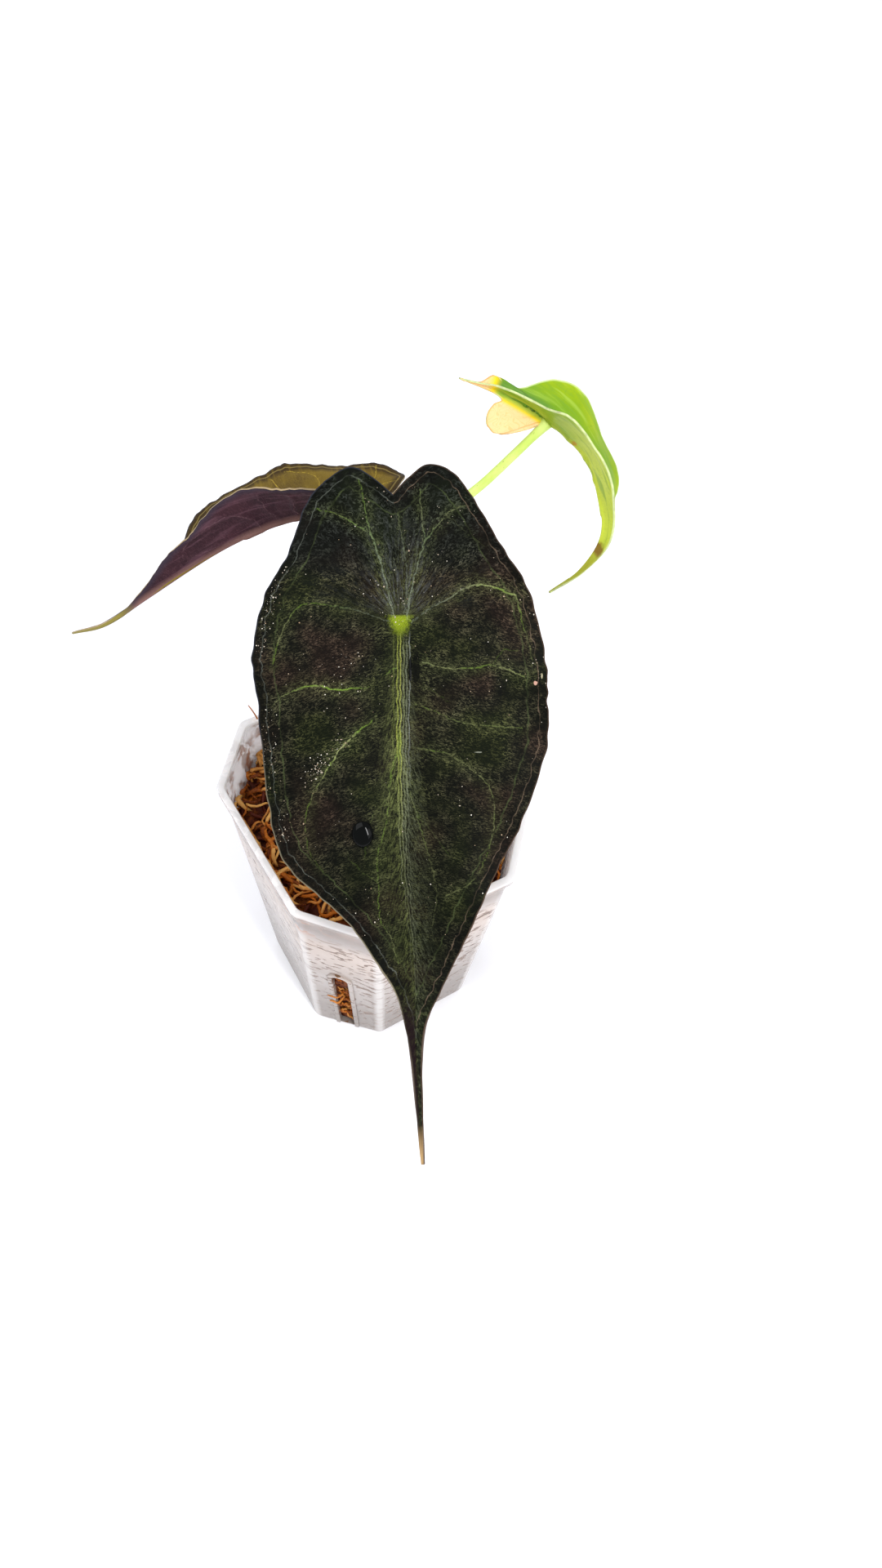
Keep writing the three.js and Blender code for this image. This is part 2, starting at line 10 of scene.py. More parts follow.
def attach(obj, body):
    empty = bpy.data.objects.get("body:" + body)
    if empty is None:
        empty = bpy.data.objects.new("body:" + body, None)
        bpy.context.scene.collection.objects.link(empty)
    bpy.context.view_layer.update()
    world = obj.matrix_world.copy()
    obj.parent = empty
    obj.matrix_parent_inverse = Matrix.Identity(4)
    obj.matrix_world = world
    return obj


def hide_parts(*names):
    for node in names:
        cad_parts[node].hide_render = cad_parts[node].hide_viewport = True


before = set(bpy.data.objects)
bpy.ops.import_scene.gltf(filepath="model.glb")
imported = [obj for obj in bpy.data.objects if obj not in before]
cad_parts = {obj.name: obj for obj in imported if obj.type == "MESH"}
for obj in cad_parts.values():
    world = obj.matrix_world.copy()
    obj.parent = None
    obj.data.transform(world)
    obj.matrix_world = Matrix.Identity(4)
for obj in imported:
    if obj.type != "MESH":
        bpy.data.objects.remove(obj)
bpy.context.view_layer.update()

# A young potted alocasia: three leaves on thin stalks, rising from a short stem that stands in
# sphagnum moss, in a clear eight-sided nursery pot. Lengths in the tables are millimetres and MM
# turns them to metres. +Z is up, and -Y is the side that the largest leaf hangs over.
bl_info = {
    "name": "Potted Alocasia",
    "version": (1, 0, 0),
    "blender": (4, 5, 0),
    "location": "View3D > Sidebar > Alocasia",
    "description": "Builds a young alocasia with its moss and nursery pot",
    "category": "Add Mesh",
}

MM = 0.001
BODY = "root"

# The pot: how far its wide and narrow sides are from the middle, at the base and at the rim.
POT_HEIGHT = 78
BASE_FLAT, BASE_CORNER = 25, 26.5
RIM_FLAT, RIM_CORNER = 31.2, 34.6
POT_TURN = math.radians(-147)
# Its rim is pressed in a little, along one way across the pot.
POT_SQUASH, PRESS = 0.12, np.array([math.cos(math.radians(50)), math.sin(math.radians(50))])
# How far the curve of an upright edge reaches, how many points lie between two edges, and how many
# rings go up the wall.
POT_EDGE_EASE, POT_SIDE_POINTS, WALL_RINGS = 1.1, 7, 28
LIP_HEIGHT, LIP_OUT = 2.6, 1.1
SLOT_WIDTH, SLOT_BOTTOM, SLOT_TOP, SLOT_FRAME, SLOT_FRAME_OUT = 3.9, 1.4, 41, 1.2, 0.55
FRONT_SLOT = 0  # which narrow side faces the camera
SLOT_CUT = (-3, 2)  # how far a slot's cutting block reaches in and out of the wall

# The moss: its height at the middle, and how it rises toward the rim.
MOSS_TOP, MOSS_RISE, MOSS_RISE_X, MOSS_RISE_Y = 66, 4, -0.35, -0.25
# How far its side, its points and its strands keep from the pot's outline, and how its lumps are:
# how many there are in a metre, how high they stand and how far they are sunk.
MOSS_GAP, MOSS_POINT_GAP, STRAND_GAP = 1.15, 1.05, 1.75
LUMPS_A_METRE, LUMP_HEIGHT, LUMP_SINK = 420, 0.7, 0.35
# Its rings of points, and each strand's points and sides, and how many strands lie in the slot.
MOSS_SIDE_RINGS, MOSS_TOP_RINGS = 36, 46
STRAND_POINTS, STRAND_SIDES, SLOT_STRANDS = 8, 4, 60
# The stem, and its radius as shares of its height and width: narrower at each old leaf's scar.
STEM_BOTTOM, STEM_TOP, STEM_RADIUS, STEM_RINGS, STEM_SIDES = 46, 71, 6, 60, 40
STEM_SHAPE = [
    (0, 0.5), (0.15, 0.8), (0.45, 1), (0.55, 0.94), (0.65, 1), (0.74, 0.93), (0.83, 0.97),
    (0.93, 0.9), (1, 0.8),
]
# Strands of moss that stray out of the front slot and over the rim, by four places on each.
STRAYS = [
    [(-5.4, -26.6, 26.6), (-7, -28.6, 27.4), (-8.4, -28.5, 27.9), (-9.6, -28, 27.2)],
    [(-5.4, -26.4, 23.6), (-7, -28.4, 23.2), (-8.3, -28.2, 23.8), (-9.2, -27.9, 23)],
    [(-25.5, 18, 70), (-27.6, 18.6, 76), (-28.9, 19.4, 79.5), (-30.3, 20.6, 80.8)],
]

# A leaf's rows fan out from the joint with its stalk, then follow its midrib to the tip. Each row:
# start along the midrib, left end (along, out), right end (along, out), and how far it bows. The
# rows up to number LOBE_ROWS, or OLD_LOBE_ROWS in the old leaf, start at the joint.
LOBE_ROWS, OLD_LOBE_ROWS = 6, 9
BOW_OUT = 0.65
FRONT_ROWS = [
    (0, -23.7, 0, -23.7, 0, -12),
    (0, -26.4, -2.9, -26.6, 3.2, -12),
    (0, -29.2, -7.2, -28.8, 6.6, -13),
    (0, -27.6, -11.4, -26.4, 10.8, -13),
    (0, -23, -15.4, -20.5, 14.6, -12),
    (0, -14.5, -19.3, -12.5, 18.8, -9),
    (0, -6.5, -23.8, -5.5, 22.9, -7),
    (4, 5, -26.2, 6, 25.9, -1),
    (8, 14, -25.3, 12.5, 26.3, 0.5),
    (14.5, 31, -23.9, 22, 26, 2.5),
    (22, 40, -21.6, 36, 21.2, 3.5),
    (30, 46.5, -16, 43.5, 17.3, 4.5),
    (40, 53, -10.8, 51.5, 12.8, 5),
    (50, 60, -6.9, 59, 8.7, 5),
    (61, 67, -3.8, 67, 4.8, 4),
    (71, 74, -2.2, 74, 2, 2),
    (82, 83, -1.2, 83, 1, 0.5),
    (95, 95, -0.8, 95, 0.7, 0),
    (108.5, 108.5, -0.35, 108.5, 0.35, 0),
]
RIGHT_ROWS = [
    (0, -1.6, -1.2, -2, 0, -0.5),
    (0, -7.6, -7.3, -9, 0.1, -3),
    (0, -10.4, -6.7, -13.6, 0.1, -4),
    (0, -11.7, -4.6, -18.8, 0.1, -5),
    (0, -11.1, -2.6, -15, 0.5, -5),
    (0, -10.4, -0.9, -12.8, 3.1, -5),
    (0, -18.8, -0.1, -10.4, 1.6, -5),
    (0, -14.4, -0.7, -9, 2.2, -5),
    (0, -11.2, -2.3, -7, 3.3, -4),
    (0, -2.8, -6.5, -3, 7.4, -2),
    (2.4, 2.2, -10.3, 2.2, 10, 0),
    (6.5, 7.3, -10.6, 7.7, 9.7, 0.5),
    (11.3, 12.2, -10, 12.6, 9.6, 1),
    (16.2, 17.4, -8.4, 17.8, 8, 1),
    (21.9, 22.7, -5.4, 23.1, 6, 1),
    (27.5, 28.4, -3.2, 28.4, 3.8, 1),
    (34, 34.4, -1.6, 34.4, 1.9, 0.5),
    (40.5, 40.5, -0.9, 40.5, 0.9, 0),
    (50, 50, -0.3, 50, 0.3, 0),
]
# The old leaf's left back lobe, up to the row at its thin tip, hangs down at this fold.
HANG_ROW, HANG_FOLD = 6, -93
# The left leaf is the front leaf's outline and veins, smaller, wide behind and narrow in front.
LEFT_LENGTH, LEFT_LOBE_LENGTH, LEFT_BACK_WIDTH, LEFT_FRONT_WIDTH = 0.568, 0.629, 0.567, 0.366
# Its back half is narrower in a few rows, named by their start, and its tip is wider.
LEFT_NARROWER = {22: 0.92, 30: 0.84, 40: 0.93}
LEFT_TIP_WIDER = 1.5

# Where each midrib runs: distance along it, its place, the way that the right half points there,
# and how many degrees the left and right halves are folded up.
FRONT_STATIONS = [
    (-30, 2.1, 26.2, 153.7, 1, 0, 0, 9, 9),
    (-12, 4.9, 9.6, 147.2, 1, 0, 0, 9, 9),
    (0, 6, -1.2, 142.1, 1, 0, 0, 9, 9),
    (20, 7.3, -18.1, 131.6, 1, 0, 0, 9, 9),
    (40, 9.1, -33.9, 119.5, 1, 0, 0, 9, 9),
    (60, 12.1, -48, 105.7, 1, 0, 0, 12, 12),
    (80, 13.8, -60.3, 90, 1, 0, 0, 20, 20),
    (100, 15.6, -71.3, 73.4, 1, 0, 0, 25, 25),
    (108.5, 16.4, -75.8, 66.2, 1, 0, 0, 25, 25),
]
LEFT_STATIONS = [
    (-18, 5, 34, 139, 0, -0.89, 0.45, 23, 7),
    (0, -12.1, 28, 137.2, 0, -0.75, 0.66, 40, 30),
    (11.4, -21.5, 24.5, 135.8, 0, -0.6, 0.8, 54, 46),
    (22.7, -31.3, 20, 132.1, 0, -0.5, 0.87, 61, 53),
    (36.9, -43.7, 13.6, 126.3, 0, -0.51, 0.86, 58, 57),
    (50.2, -53.9, 13.2, 117.2, 0, -0.53, 0.85, 42, 48),
    (61.6, -62.4, 15.7, 110.5, 0, -0.54, 0.84, 24, 30),
]
RIGHT_STATIONS = [
    (-18.9, 13.2, 49.2, 153.4, 0.55, 0.42, -0.86, 10, 70),
    (-10.5, 21.5, 48.3, 151.4, 0.48, 0.42, -0.86, 10, 70),
    (0, 30.9, 45.9, 147.4, 0.33, 0.42, -0.86, 5, 70),
    (9.7, 38.4, 40.7, 143.7, 0.2, 0.42, -0.86, 8, 36),
    (19.4, 41.4, 34.3, 140.2, 0.1, 0.42, -0.86, 16, 32),
    (29.1, 42.4, 28.6, 135.1, -0.03, 0.42, -0.86, 40, 42),
    (38.9, 39.7, 28.1, 125.9, -0.15, 0.42, -0.86, 45, 48),
    (50, 34.8, 30.2, 116.2, -0.26, 0.42, -0.86, 45, 54),
]

# The main veins, as (out, along) points in the flat leaf, with their strength at the start and end.
FRONT_VEINS = [
    # the right side: first, second and third side veins, then the two loops lower down
    ([(1.8, 0), (4.2, -2), (8, -4), (11.5, -6), (14.5, -6.5), (17.5, -5.8), (20.6, -4.6)], 0.45, 1),
    ([(20.6, -4.6), (21.4, -0.5), (22.6, 3.5), (23.4, 8)], 0.6, 0.25),
    ([(4, 6.6), (8, 7.6), (12.2, 7.6), (16, 7.1), (19, 7.8), (21.6, 9)], 0.55, 0.55),
    ([(2.6, 13.8), (5.8, 15), (10, 16.8), (15.8, 17.8), (21.4, 18.2)], 0.3, 0.35),
    ([(2.5, 21.5), (8, 22.5), (10.8, 24.2), (14.2, 26.8), (16, 29.6), (16.4, 33), (15.8, 38),
      (13.8, 43.6), (11.2, 46.8), (7, 48.4)], 0.4, 0.3),
    ([(0.6, 22), (1.6, 29), (3.2, 35.2), (5, 42.8), (5.4, 48), (4, 54)], 0.4, 0.15),
    ([(0.8, 26), (2.4, 32), (6.4, 38), (8.2, 41)], 0.25, 0.1),
    # the left side
    ([(-1.6, -0.4), (-5, -1.6), (-7.8, -2.5), (-11.4, -3.2), (-15, -3.8), (-17.8, -3),
      (-20, -0.2), (-21.4, 3.5), (-22.2, 7)], 0.35, 0.45),
    ([(-0.8, 7.6), (-2.7, 8.9)], 0.6, 0.2),
    ([(-4.4, 10.8), (-7, 11.2), (-9.2, 11.4)], 0.05, 0.95),
    ([(-9.2, 11.4), (-10.8, 11.5), (-14.2, 10.9), (-16.4, 11)], 1, 0.8),
    ([(-16.4, 11), (-17.8, 11.3), (-20.8, 12.8), (-22.3, 14.4)], 0.75, 0.15),
    ([(-4.8, 16.8), (-8.4, 19.5), (-10.8, 22)], 0.6, 1),
    ([(-10.8, 22), (-13, 25.5), (-15.2, 29)], 0.95, 0.3),
    ([(-15.2, 29), (-16.5, 32), (-17, 35), (-16.5, 39), (-14.4, 42.4)], 0.4, 0.15),
    ([(-0.6, 22), (-1.8, 27), (-2.8, 34.6), (-4.6, 40.4), (-4.9, 45), (-5.3, 51.8), (-3.8, 56),
      (-3, 61)], 0.45, 0.3),
    ([(-2.2, 30), (-4.8, 33), (-6.4, 37), (-6.8, 41)], 0.25, 0.1),
    # the two back lobes: a main vein each, forking
    ([(-0.9, -1), (-1.8, -4.4), (-2.8, -9.5), (-4.4, -16)], 0.95, 0.8),
    ([(-1.2, -1), (-2.4, -3.6)], 0.5, 0.2),
    ([(-4.4, -16), (-5, -19), (-5.3, -23.2), (-5.8, -27)], 0.6, 0.35),
    ([(-4.4, -16), (-6.6, -18), (-9.3, -20), (-12, -21.2), (-14.4, -21.8)], 0.75, 0.35),
    ([(1.2, -1), (2.1, -6), (3.5, -10.8), (5, -14.6)], 0.9, 0.7),
    ([(5, -14.6), (4.7, -19), (4.8, -24)], 0.5, 0.35),
    ([(5, -14.6), (7.8, -17.4), (9.6, -19), (12.6, -20)], 0.65, 0.35),
    ([(0.8, -2), (1.4, -9), (0.9, -15), (0.6, -20)], 0.45, 0.35),
    # a few short ones between them
    ([(9, -18.6), (12.5, -15), (15, -13)], 0.12, 0.1),
    ([(1.4, 10.4), (5, 11.2), (8.5, 13.4)], 0.12, 0.1),
    ([(16, 7.1), (18, 4.6), (20.6, 4.4)], 0.25, 0.15),
    ([(-4.9, 45), (-7.5, 43), (-10, 40)], 0.15, 0.1),
]
RIGHT_VEINS = [
    ([(0, 1.2), (4, 0.6), (7.4, -0.4), (9, 2)], 0.5, 0.3),
    ([(0, 5), (4.2, 5.4), (8, 6), (9.2, 9)], 0.5, 0.3),
    ([(0, 10), (4, 11), (7.4, 12.2), (8, 16)], 0.5, 0.3),
    ([(0, 15.4), (3.4, 17), (6, 19), (5.4, 23)], 0.5, 0.3),
    ([(0, 0.6), (-4.6, 0.2), (-9, 1.6), (-9.4, 5)], 0.3, 0.2),
    ([(0, 4.6), (-4.8, 6.8), (-8.4, 10), (-8.4, 15)], 0.3, 0.2),
    ([(0, 11), (-3.6, 15.6), (-6.6, 19.4), (-4.8, 23)], 0.3, 0.2),
    ([(0, -0.6), (-2.6, -4.4), (-4.6, -8.4), (-3.4, -10.2)], 0.4, 0.3),
    ([(-2, -3), (-4.6, -5.4), (-5.8, -7.6)], 0.3, 0.2),
]

# Each stalk's route from its foot in the stem to below its leaf. Each is a tube of rings one step
# apart, with this many sides.
STALK_STEP, STALK_SIDES = 0.7, 16
STALK_FRONT = [(2.2, -1.8, 64.5), (2.4, -1.2, 78), (3, 0.8, 98), (4.2, 2.6, 118), (5.4, 2.4, 132)]
STALK_LEFT = [(-2.5, 0.9, 64.5), (-3, 2, 78), (-4.6, 6.6, 96), (-7, 14, 113), (-9.8, 21.6, 127)]
STALK_RIGHT = [
    (1.3, 2.7, 64.5), (1.7, 4.4, 78), (2.6, 13, 98), (5.4, 26, 117), (11.5, 35.5, 128.9),
    (20.6, 40.9, 136.7),
]

# The camera: where it stands, how far down it looks, its roll, and its focal length in pixels of
# the 1920 pixel long side.
CAMERA_PLACE = (15, -129, 306)
CAMERA_DOWN, CAMERA_ROLL = math.radians(59.6), math.radians(3.8)
CAMERA_FOCAL, CAMERA_LONG_SIDE, CAMERA_SENSOR = 1442, 1920, 36
# The soft lights, in metres: name, place, width, height and power. All are aimed at one place.
LIGHTS = [
    ("light_above", (-0.35, -0.1, 0.9), 0.7, 0.7, 4), ("light_side", (0.6, -0.5, 0.6), 0.5, 0.5, 1.5),
    ("light_strip", (0.25, -0.35, 0.55), 0.06, 0.3, 2),
]
LIGHT_TARGET = Vector((0, 0, 0.08))
WORLD_STRENGTH = 0.85


def linear(code):
    """An sRGB hex colour as linear red, green, blue and alpha."""
    shares = [int(code[i : i + 2], 16) / 255 for i in (1, 3, 5)]
    return (*[s / 12.92 if s <= 0.04045 else ((s + 0.055) / 1.055) ** 2.4 for s in shares], 1.0)


def colour(name, code, description):
    """A colour that a user can change, from its hex code."""
    return bpy.props.FloatVectorProperty(
        name=name, description=description, subtype="COLOR", size=4, min=0, max=1,
        default=linear(code),
    )


def length(name, size, description):
    """A length that a user can change, from its size in millimetres."""
    return bpy.props.FloatProperty(
        name=name, description=description, unit="LENGTH", default=size * MM
    )


class PlantSizes(bpy.types.PropertyGroup):
    blade: length("Blade thickness", 0.38, "Thickness of every leaf blade")
    leaf_grid: length("Leaf grid", 0.6, "Spacing of the points of a leaf")
    quilting: length("Quilting", 0.3, "How far a leaf bulges between veins")
    pot_wall: length("Pot wall", 0.8, "Thickness of the pot's wall")
    strands: bpy.props.IntProperty(
        name="Moss strands", description="How many strands lie on the moss", default=1000, min=1
    )


class PlantColours(bpy.types.PropertyGroup):
    blade_dark: colour("Front blade", "#080906", "Near-black blade of the front leaf")
    blade_brown: colour("Front blade, brown", "#120D0A", "Brown-purple patches of the front leaf")
    blade_green: colour("Front blade, green", "#0C1007", "Green patches of the front leaf")
    net: colour("Front net", "#58553F", "Fine veinlets of the front leaf")
    vein_green: colour("Front veins", "#6E8A34", "Main veins of the front leaf")
    vein_grey: colour("Front veins near the joint", "#6C7462", "Main veins close to the stalk joint")
    joint: colour("Joint spot", "#86981E", "Spot over the stalk joint")
    under_purple: colour("Purple underside", "#26131A", "Underside of the two dark leaves")
    olive: colour("Olive blade", "#6E5A1C", "Upper face of the left leaf")
    lime: colour("Old blade", "#84A00A", "Upper face of the old leaf")
    lime_under: colour("Old underside", "#86A814", "Underside of the old leaf")
    cream: colour("Cream lobe", "#E6C48C", "Bleached lobe of the old leaf")
    stalk: colour("Stalk", "#B4D24E", "Leaf stalks")
    moss_tan: colour("Tan moss", "#D29C54", "Dry strands of moss")
    moss_orange: colour("Orange moss", "#AE5E12", "Wet strands of moss")
    moss_rust: colour("Rust moss", "#4C1804", "Deep strands of moss")
    pot: colour("Pot", "#D8CEC8", "Milky wall of the pot")
    pot_mark: colour("Marks on the pot", "#6E4A2A", "Moss that touches the wall")
    floor: colour("Floor", "#F4F4F6", "Floor of the studio")


def unit(vectors):
    return vectors / np.linalg.norm(vectors, axis=-1, keepdims=True)


def smooth(knots, values, at):
    """A smooth curve through values at the knots, going on straight beyond the two ends."""
    knots, values, at = (np.asarray(given, float) for given in (knots, values, at))
    last = len(knots) - 1
    piece = np.searchsorted(knots[1:last], at)
    before, after = np.maximum(np.arange(last + 1) - 1, 0), np.minimum(np.arange(last + 1) + 1, last)
    slopes = (values[after] - values[before]) / (knots[after] - knots[before])[:, None]
    span = (knots[piece + 1] - knots[piece])[..., None]
    t = np.clip((at - knots[piece])[..., None] / span, 0, 1)
    a, b = values[piece], values[piece + 1]
    leave, arrive = slopes[piece] * span, slopes[piece + 1] * span
    beyond = (at - np.clip(at, knots[0], knots[last]))[..., None]
    end_slope = np.where(beyond < 0, slopes[0], slopes[last])
    curve = (2 * a - 2 * b + leave + arrive) * t + 3 * b - 3 * a - 2 * leave - arrive
    return (curve * t + leave) * t + a + beyond * end_slope


def smoothstep(low, high, value):
    share = np.clip((value - low) / (high - low), 0, 1)
    return share * share * (3 - 2 * share)


def evenly(route, step):
    """Points along a smooth route, about one step apart, and how far along each one is."""
    route = np.array(route, float)
    far = np.concatenate([[0], np.cumsum(np.linalg.norm(np.diff(route, axis=0), axis=1))])
    at = np.linspace(0, far[-1], max(2, math.ceil(far[-1] / step) + 1))
    return smooth(far, route, at), at / far[-1]


def left_along(along):
    return along * (LEFT_LOBE_LENGTH if along < 0 else LEFT_LENGTH)


def left_out(out):
    return out * (LEFT_BACK_WIDTH if out < 0 else LEFT_FRONT_WIDTH)


def left_row(row):
    start, near, near_out, far, far_out, bow = row
    wider = 1 + LEFT_TIP_WIDER * smoothstep(70, 95, start)
    near_out, far_out = near_out * LEFT_NARROWER.get(start, 1) * wider, far_out * wider
    ends = [left_along(near), left_out(near_out), left_along(far), left_out(far_out)]
    return (left_along(start), *ends, bow * LEFT_LENGTH)


def left_vein(vein):
    points, start, end = vein
    return ([(left_out(out), left_along(along)) for out, along in points], start, end)


# A leaf's relief: how far inside its margin the quilting fades, how deep a vein lies in its upper
# face, and how far its keel and its veins stand out below.
QUILT_FADE, VEIN_DEPTH, KEEL_WIDTH, KEEL_HEIGHT, RIB_HEIGHT = 4, 0.06, 0.7, 0.5, 0.2
# Points that no vein reaches count as this far from one.
FAR_FROM_VEINS = 9.0
# How many levels its margins are measured at, for spacing its rows and for finding the margin.
SPACING_LEVELS, MARGIN_LEVELS = 3000, 2400
# For each leaf: its rows, veins and midrib, how many degrees each half turns down in a millimetre,
# how far its margin waves, what share of its width its outline ripples, how wide the swelling along
# a vein is, whether its left back lobe hangs, and the record's finish.
LEAVES = {
    "leaf_front": {
        "rows": FRONT_ROWS, "veins": FRONT_VEINS, "stations": FRONT_STATIONS,
        "lobe_rows": LOBE_ROWS, "curl": -0.85, "wave": 0.9, "ripple": 0.008, "halo": 1.5, "hangs": 0,
        "slot": "leaf_dark",
    },
    "leaf_left": {
        "rows": [left_row(row) for row in FRONT_ROWS],
        "veins": [left_vein(vein) for vein in FRONT_VEINS],
        "stations": LEFT_STATIONS, "lobe_rows": LOBE_ROWS, "curl": 0, "wave": 0.5, "ripple": 0.02,
        "halo": 0.9, "hangs": 0, "slot": "leaf_purple",
    },
    "leaf_right": {
        "rows": RIGHT_ROWS, "veins": RIGHT_VEINS, "stations": RIGHT_STATIONS,
        "lobe_rows": OLD_LOBE_ROWS, "curl": 0, "wave": 0.35, "ripple": 0.008, "halo": 0.8, "hangs": 1,
        "slot": "leaf_lime",
    },
}


def flat_place(leaf, level, across):
    """The (out, along) of points in the flat leaf: across runs from -1, the left margin, to 1."""
    rows = smooth(range(len(leaf["rows"])), leaf["rows"], level)
    start = np.where(level <= leaf["lobe_rows"], 0, rows[..., 0])
    left = across < 0
    end_along = np.where(left, rows[..., 1], rows[..., 3])
    end_out = np.where(left, rows[..., 2], rows[..., 4])
    ripple = np.sin(level * 11 + 2 * left) + 0.7 * np.sin(level * 17.3 + left)
    end_out = end_out * (1 - leaf["ripple"] * (1.7 + ripple) / 2)
    t = np.abs(across)
    back, middle, front = (1 - t) ** 2, 2 * t * (1 - t), t * t
    along = back * start + middle * (start + rows[..., 5]) + front * end_along
    return (middle * BOW_OUT + front) * end_out, along


def midrib(leaf, along):
    """The midrib's place, the leaf's right and up directions there, and its two folds."""
    stations = np.array(leaf["stations"], float)
    here, ahead, behind = (
        smooth(stations[:, 0], stations[:, 1:], along + step) for step in (0, 0.05, -0.05)
    )
    forward = unit(ahead[..., :3] - behind[..., :3])
    right = here[..., 3:6]
    right = unit(right - forward * (right * forward).sum(-1, keepdims=True))
    return here[..., :3], right, np.cross(forward, right), here[..., 6], here[..., 7]


def hanging(leaf, level):
    """How far a row's left half belongs to the lobe that hangs down, from 0 to 1."""
    return leaf["hangs"] * (1 - smoothstep(HANG_ROW - 0.25, HANG_ROW + 0.25, level))


def bend(leaf, out, along, hang=0.0):
    """Where points of the flat leaf are on the real one: each half leaves the midrib in an arc."""
    place, right, up, fold_left, fold_right = midrib(leaf, along)
    fold_left = fold_left + (HANG_FOLD - fold_left) * hang
    fold = np.radians(np.where(out < 0, fold_left, fold_right))
    turn = math.radians(leaf["curl"]) or 1e-5
    sideways = (np.sin(fold + turn * np.abs(out)) - np.sin(fold)) / turn * np.sign(out)
    upward = (np.cos(fold) - np.cos(fold + turn * np.abs(out))) / turn
    return place + right * sideways[..., None] + up * upward[..., None]


def leaf_place(leaf, level, across):
    """Where points of a leaf's middle surface are, with the wave of its margin."""
    out, along = flat_place(leaf, level, across)
    wave = leaf["wave"] * np.abs(across) ** 3 * np.minimum(1, np.abs(out) / 6)
    wave = wave * np.sin(level * 2.1 + np.sign(across))
    return bend(leaf, out, along, hanging(leaf, level)) + midrib(leaf, along)[2] * wave[..., None]


def margin_points(leaf, count):
    """Row levels from the first to the last, and the flat places of their ends on both margins."""
    levels = np.linspace(0, len(leaf["rows"]) - 1, count)
    return levels, [
        np.stack(flat_place(leaf, levels, np.full(levels.shape, side)), -1) for side in (-1.0, 1.0)
    ]


def even_levels(leaf, spacing):
    """Row levels whose ends are one spacing apart on the margin."""
    levels, ends = margin_points(leaf, SPACING_LEVELS)
    steps = np.max([np.linalg.norm(np.diff(end, axis=0), axis=1) for end in ends], axis=0)
    far = np.concatenate([[0], np.cumsum(steps)])
    return np.interp(np.linspace(0, far[-1], math.ceil(far[-1] / spacing) + 1), far, levels)


def nearest(places, points):
    """How far each place is from the nearest of the points, and which point that is."""
    tree = KDTree(len(points))
    for index, point in enumerate(points):
        tree.insert(point, index)
    tree.balance()
    found = [tree.find(place)[1:] for place in places]
    return np.array([far for _, far in found]), np.array([index for index, _ in found])


def flat_points(flat, third=0.0):
    """Flat places with a third coordinate, as the search for the nearest point needs."""
    return np.column_stack([flat, np.broadcast_to(third, len(flat))])


def margin_distance(leaf, level, flat):
    """How far each flat point is from the margin near its own row."""
    levels, ends = margin_points(leaf, MARGIN_LEVELS)
    margin = np.concatenate([flat_points(end, levels) for end in ends])
    return nearest(flat_points(flat, level), margin)[0]


def vein_masks(leaf, flat):
    """The way from each flat point to the nearest main vein, how far that is, the vein's strength
    there, and the swelling round it."""
    aim, away = np.full((len(flat), 2), FAR_FROM_VEINS), np.full(len(flat), FAR_FROM_VEINS)
    vein, halo = np.zeros(len(flat)), np.zeros(len(flat))
    for points, start, end in leaf["veins"]:
        route, share = evenly(points, 0.1)
        low, high = route.min(0) - 3 * leaf["halo"], route.max(0) + 3 * leaf["halo"]
        close = np.flatnonzero(((flat > low) & (flat < high)).all(1))
        far, index = nearest(flat_points(flat[close]), flat_points(route))
        strength = start + (end - start) * share[index]
        nearer = far < away[close]
        aim[close[nearer]] = (route[index] - flat[close])[nearer]
        away[close[nearer]], vein[close[nearer]] = far[nearer], strength[nearer]
        halo[close] = np.maximum(halo[close], strength * np.exp(-((far / leaf["halo"]) ** 2)))
    return aim, away, vein, halo


def bleached(leaf, level, flat):
    """How far the old leaf has lost its green at a flat point: its hanging lobe, and its back tip."""
    lobe = hanging(leaf, level) * smoothstep(0.2, 2.4, -flat[:, 0])
    return np.maximum(lobe, smoothstep(-10.5, -14.5, flat[:, 1]))


def read_points(piece):
    places = np.empty(len(piece.data.vertices) * 3)
    piece.data.vertices.foreach_get("co", places)
    return places.reshape(-1, 3)


def write_points(piece, places):
    piece.data.vertices.foreach_set("co", np.ascontiguousarray(places, dtype=float).ravel())
    piece.data.update()


def normals(piece):
    ways = np.empty(len(piece.data.vertices) * 3)
    piece.data.vertex_normals.foreach_get("vector", ways)
    return ways.reshape(-1, 3)


def keep(piece, name, values):
    """Keeps one value, or one vector, for each point of a piece, for its material to read."""
    kind, field = ("FLOAT_VECTOR", "vector") if np.ndim(values) == 2 else ("FLOAT", "value")
    attribute = piece.data.attributes.new(name, kind, "POINT")
    attribute.data.foreach_set(field, np.ascontiguousarray(values, dtype=float).ravel())


def kept(piece, name):
    values = np.empty(len(piece.data.vertices))
    piece.data.attributes[name].data.foreach_get("value", values)
    return values


def choose(piece):
    """Selects one piece alone and makes it active."""
    bpy.ops.object.select_all(action="DESELECT")
    piece.select_set(True)
    bpy.context.view_layer.objects.active = piece


def in_edit_mode(piece, *steps):
    """Runs steps of mesh editing on everything in a piece."""
    choose(piece)
    bpy.ops.object.mode_set(mode="EDIT")
    bpy.ops.mesh.select_all(action="SELECT")
    for step in steps:
        step()
    bpy.ops.object.mode_set(mode="OBJECT")


def primitive(name, kind, **settings):
    """Adds one of Blender's primitives, chosen alone."""
    bpy.ops.object.select_all(action="DESELECT")
    kind(**settings)
    made = bpy.context.object
    made.name = made.data.name = name
    return made


def mesh_piece(name, places, faces):
    """A piece from its places in millimetres and its faces."""
    mesh = bpy.data.meshes.new(name)
    mesh.from_pydata(places.reshape(-1, 3) * MM, [], faces)
    made = bpy.data.objects.new(name, mesh)
    bpy.context.collection.objects.link(made)
    return made


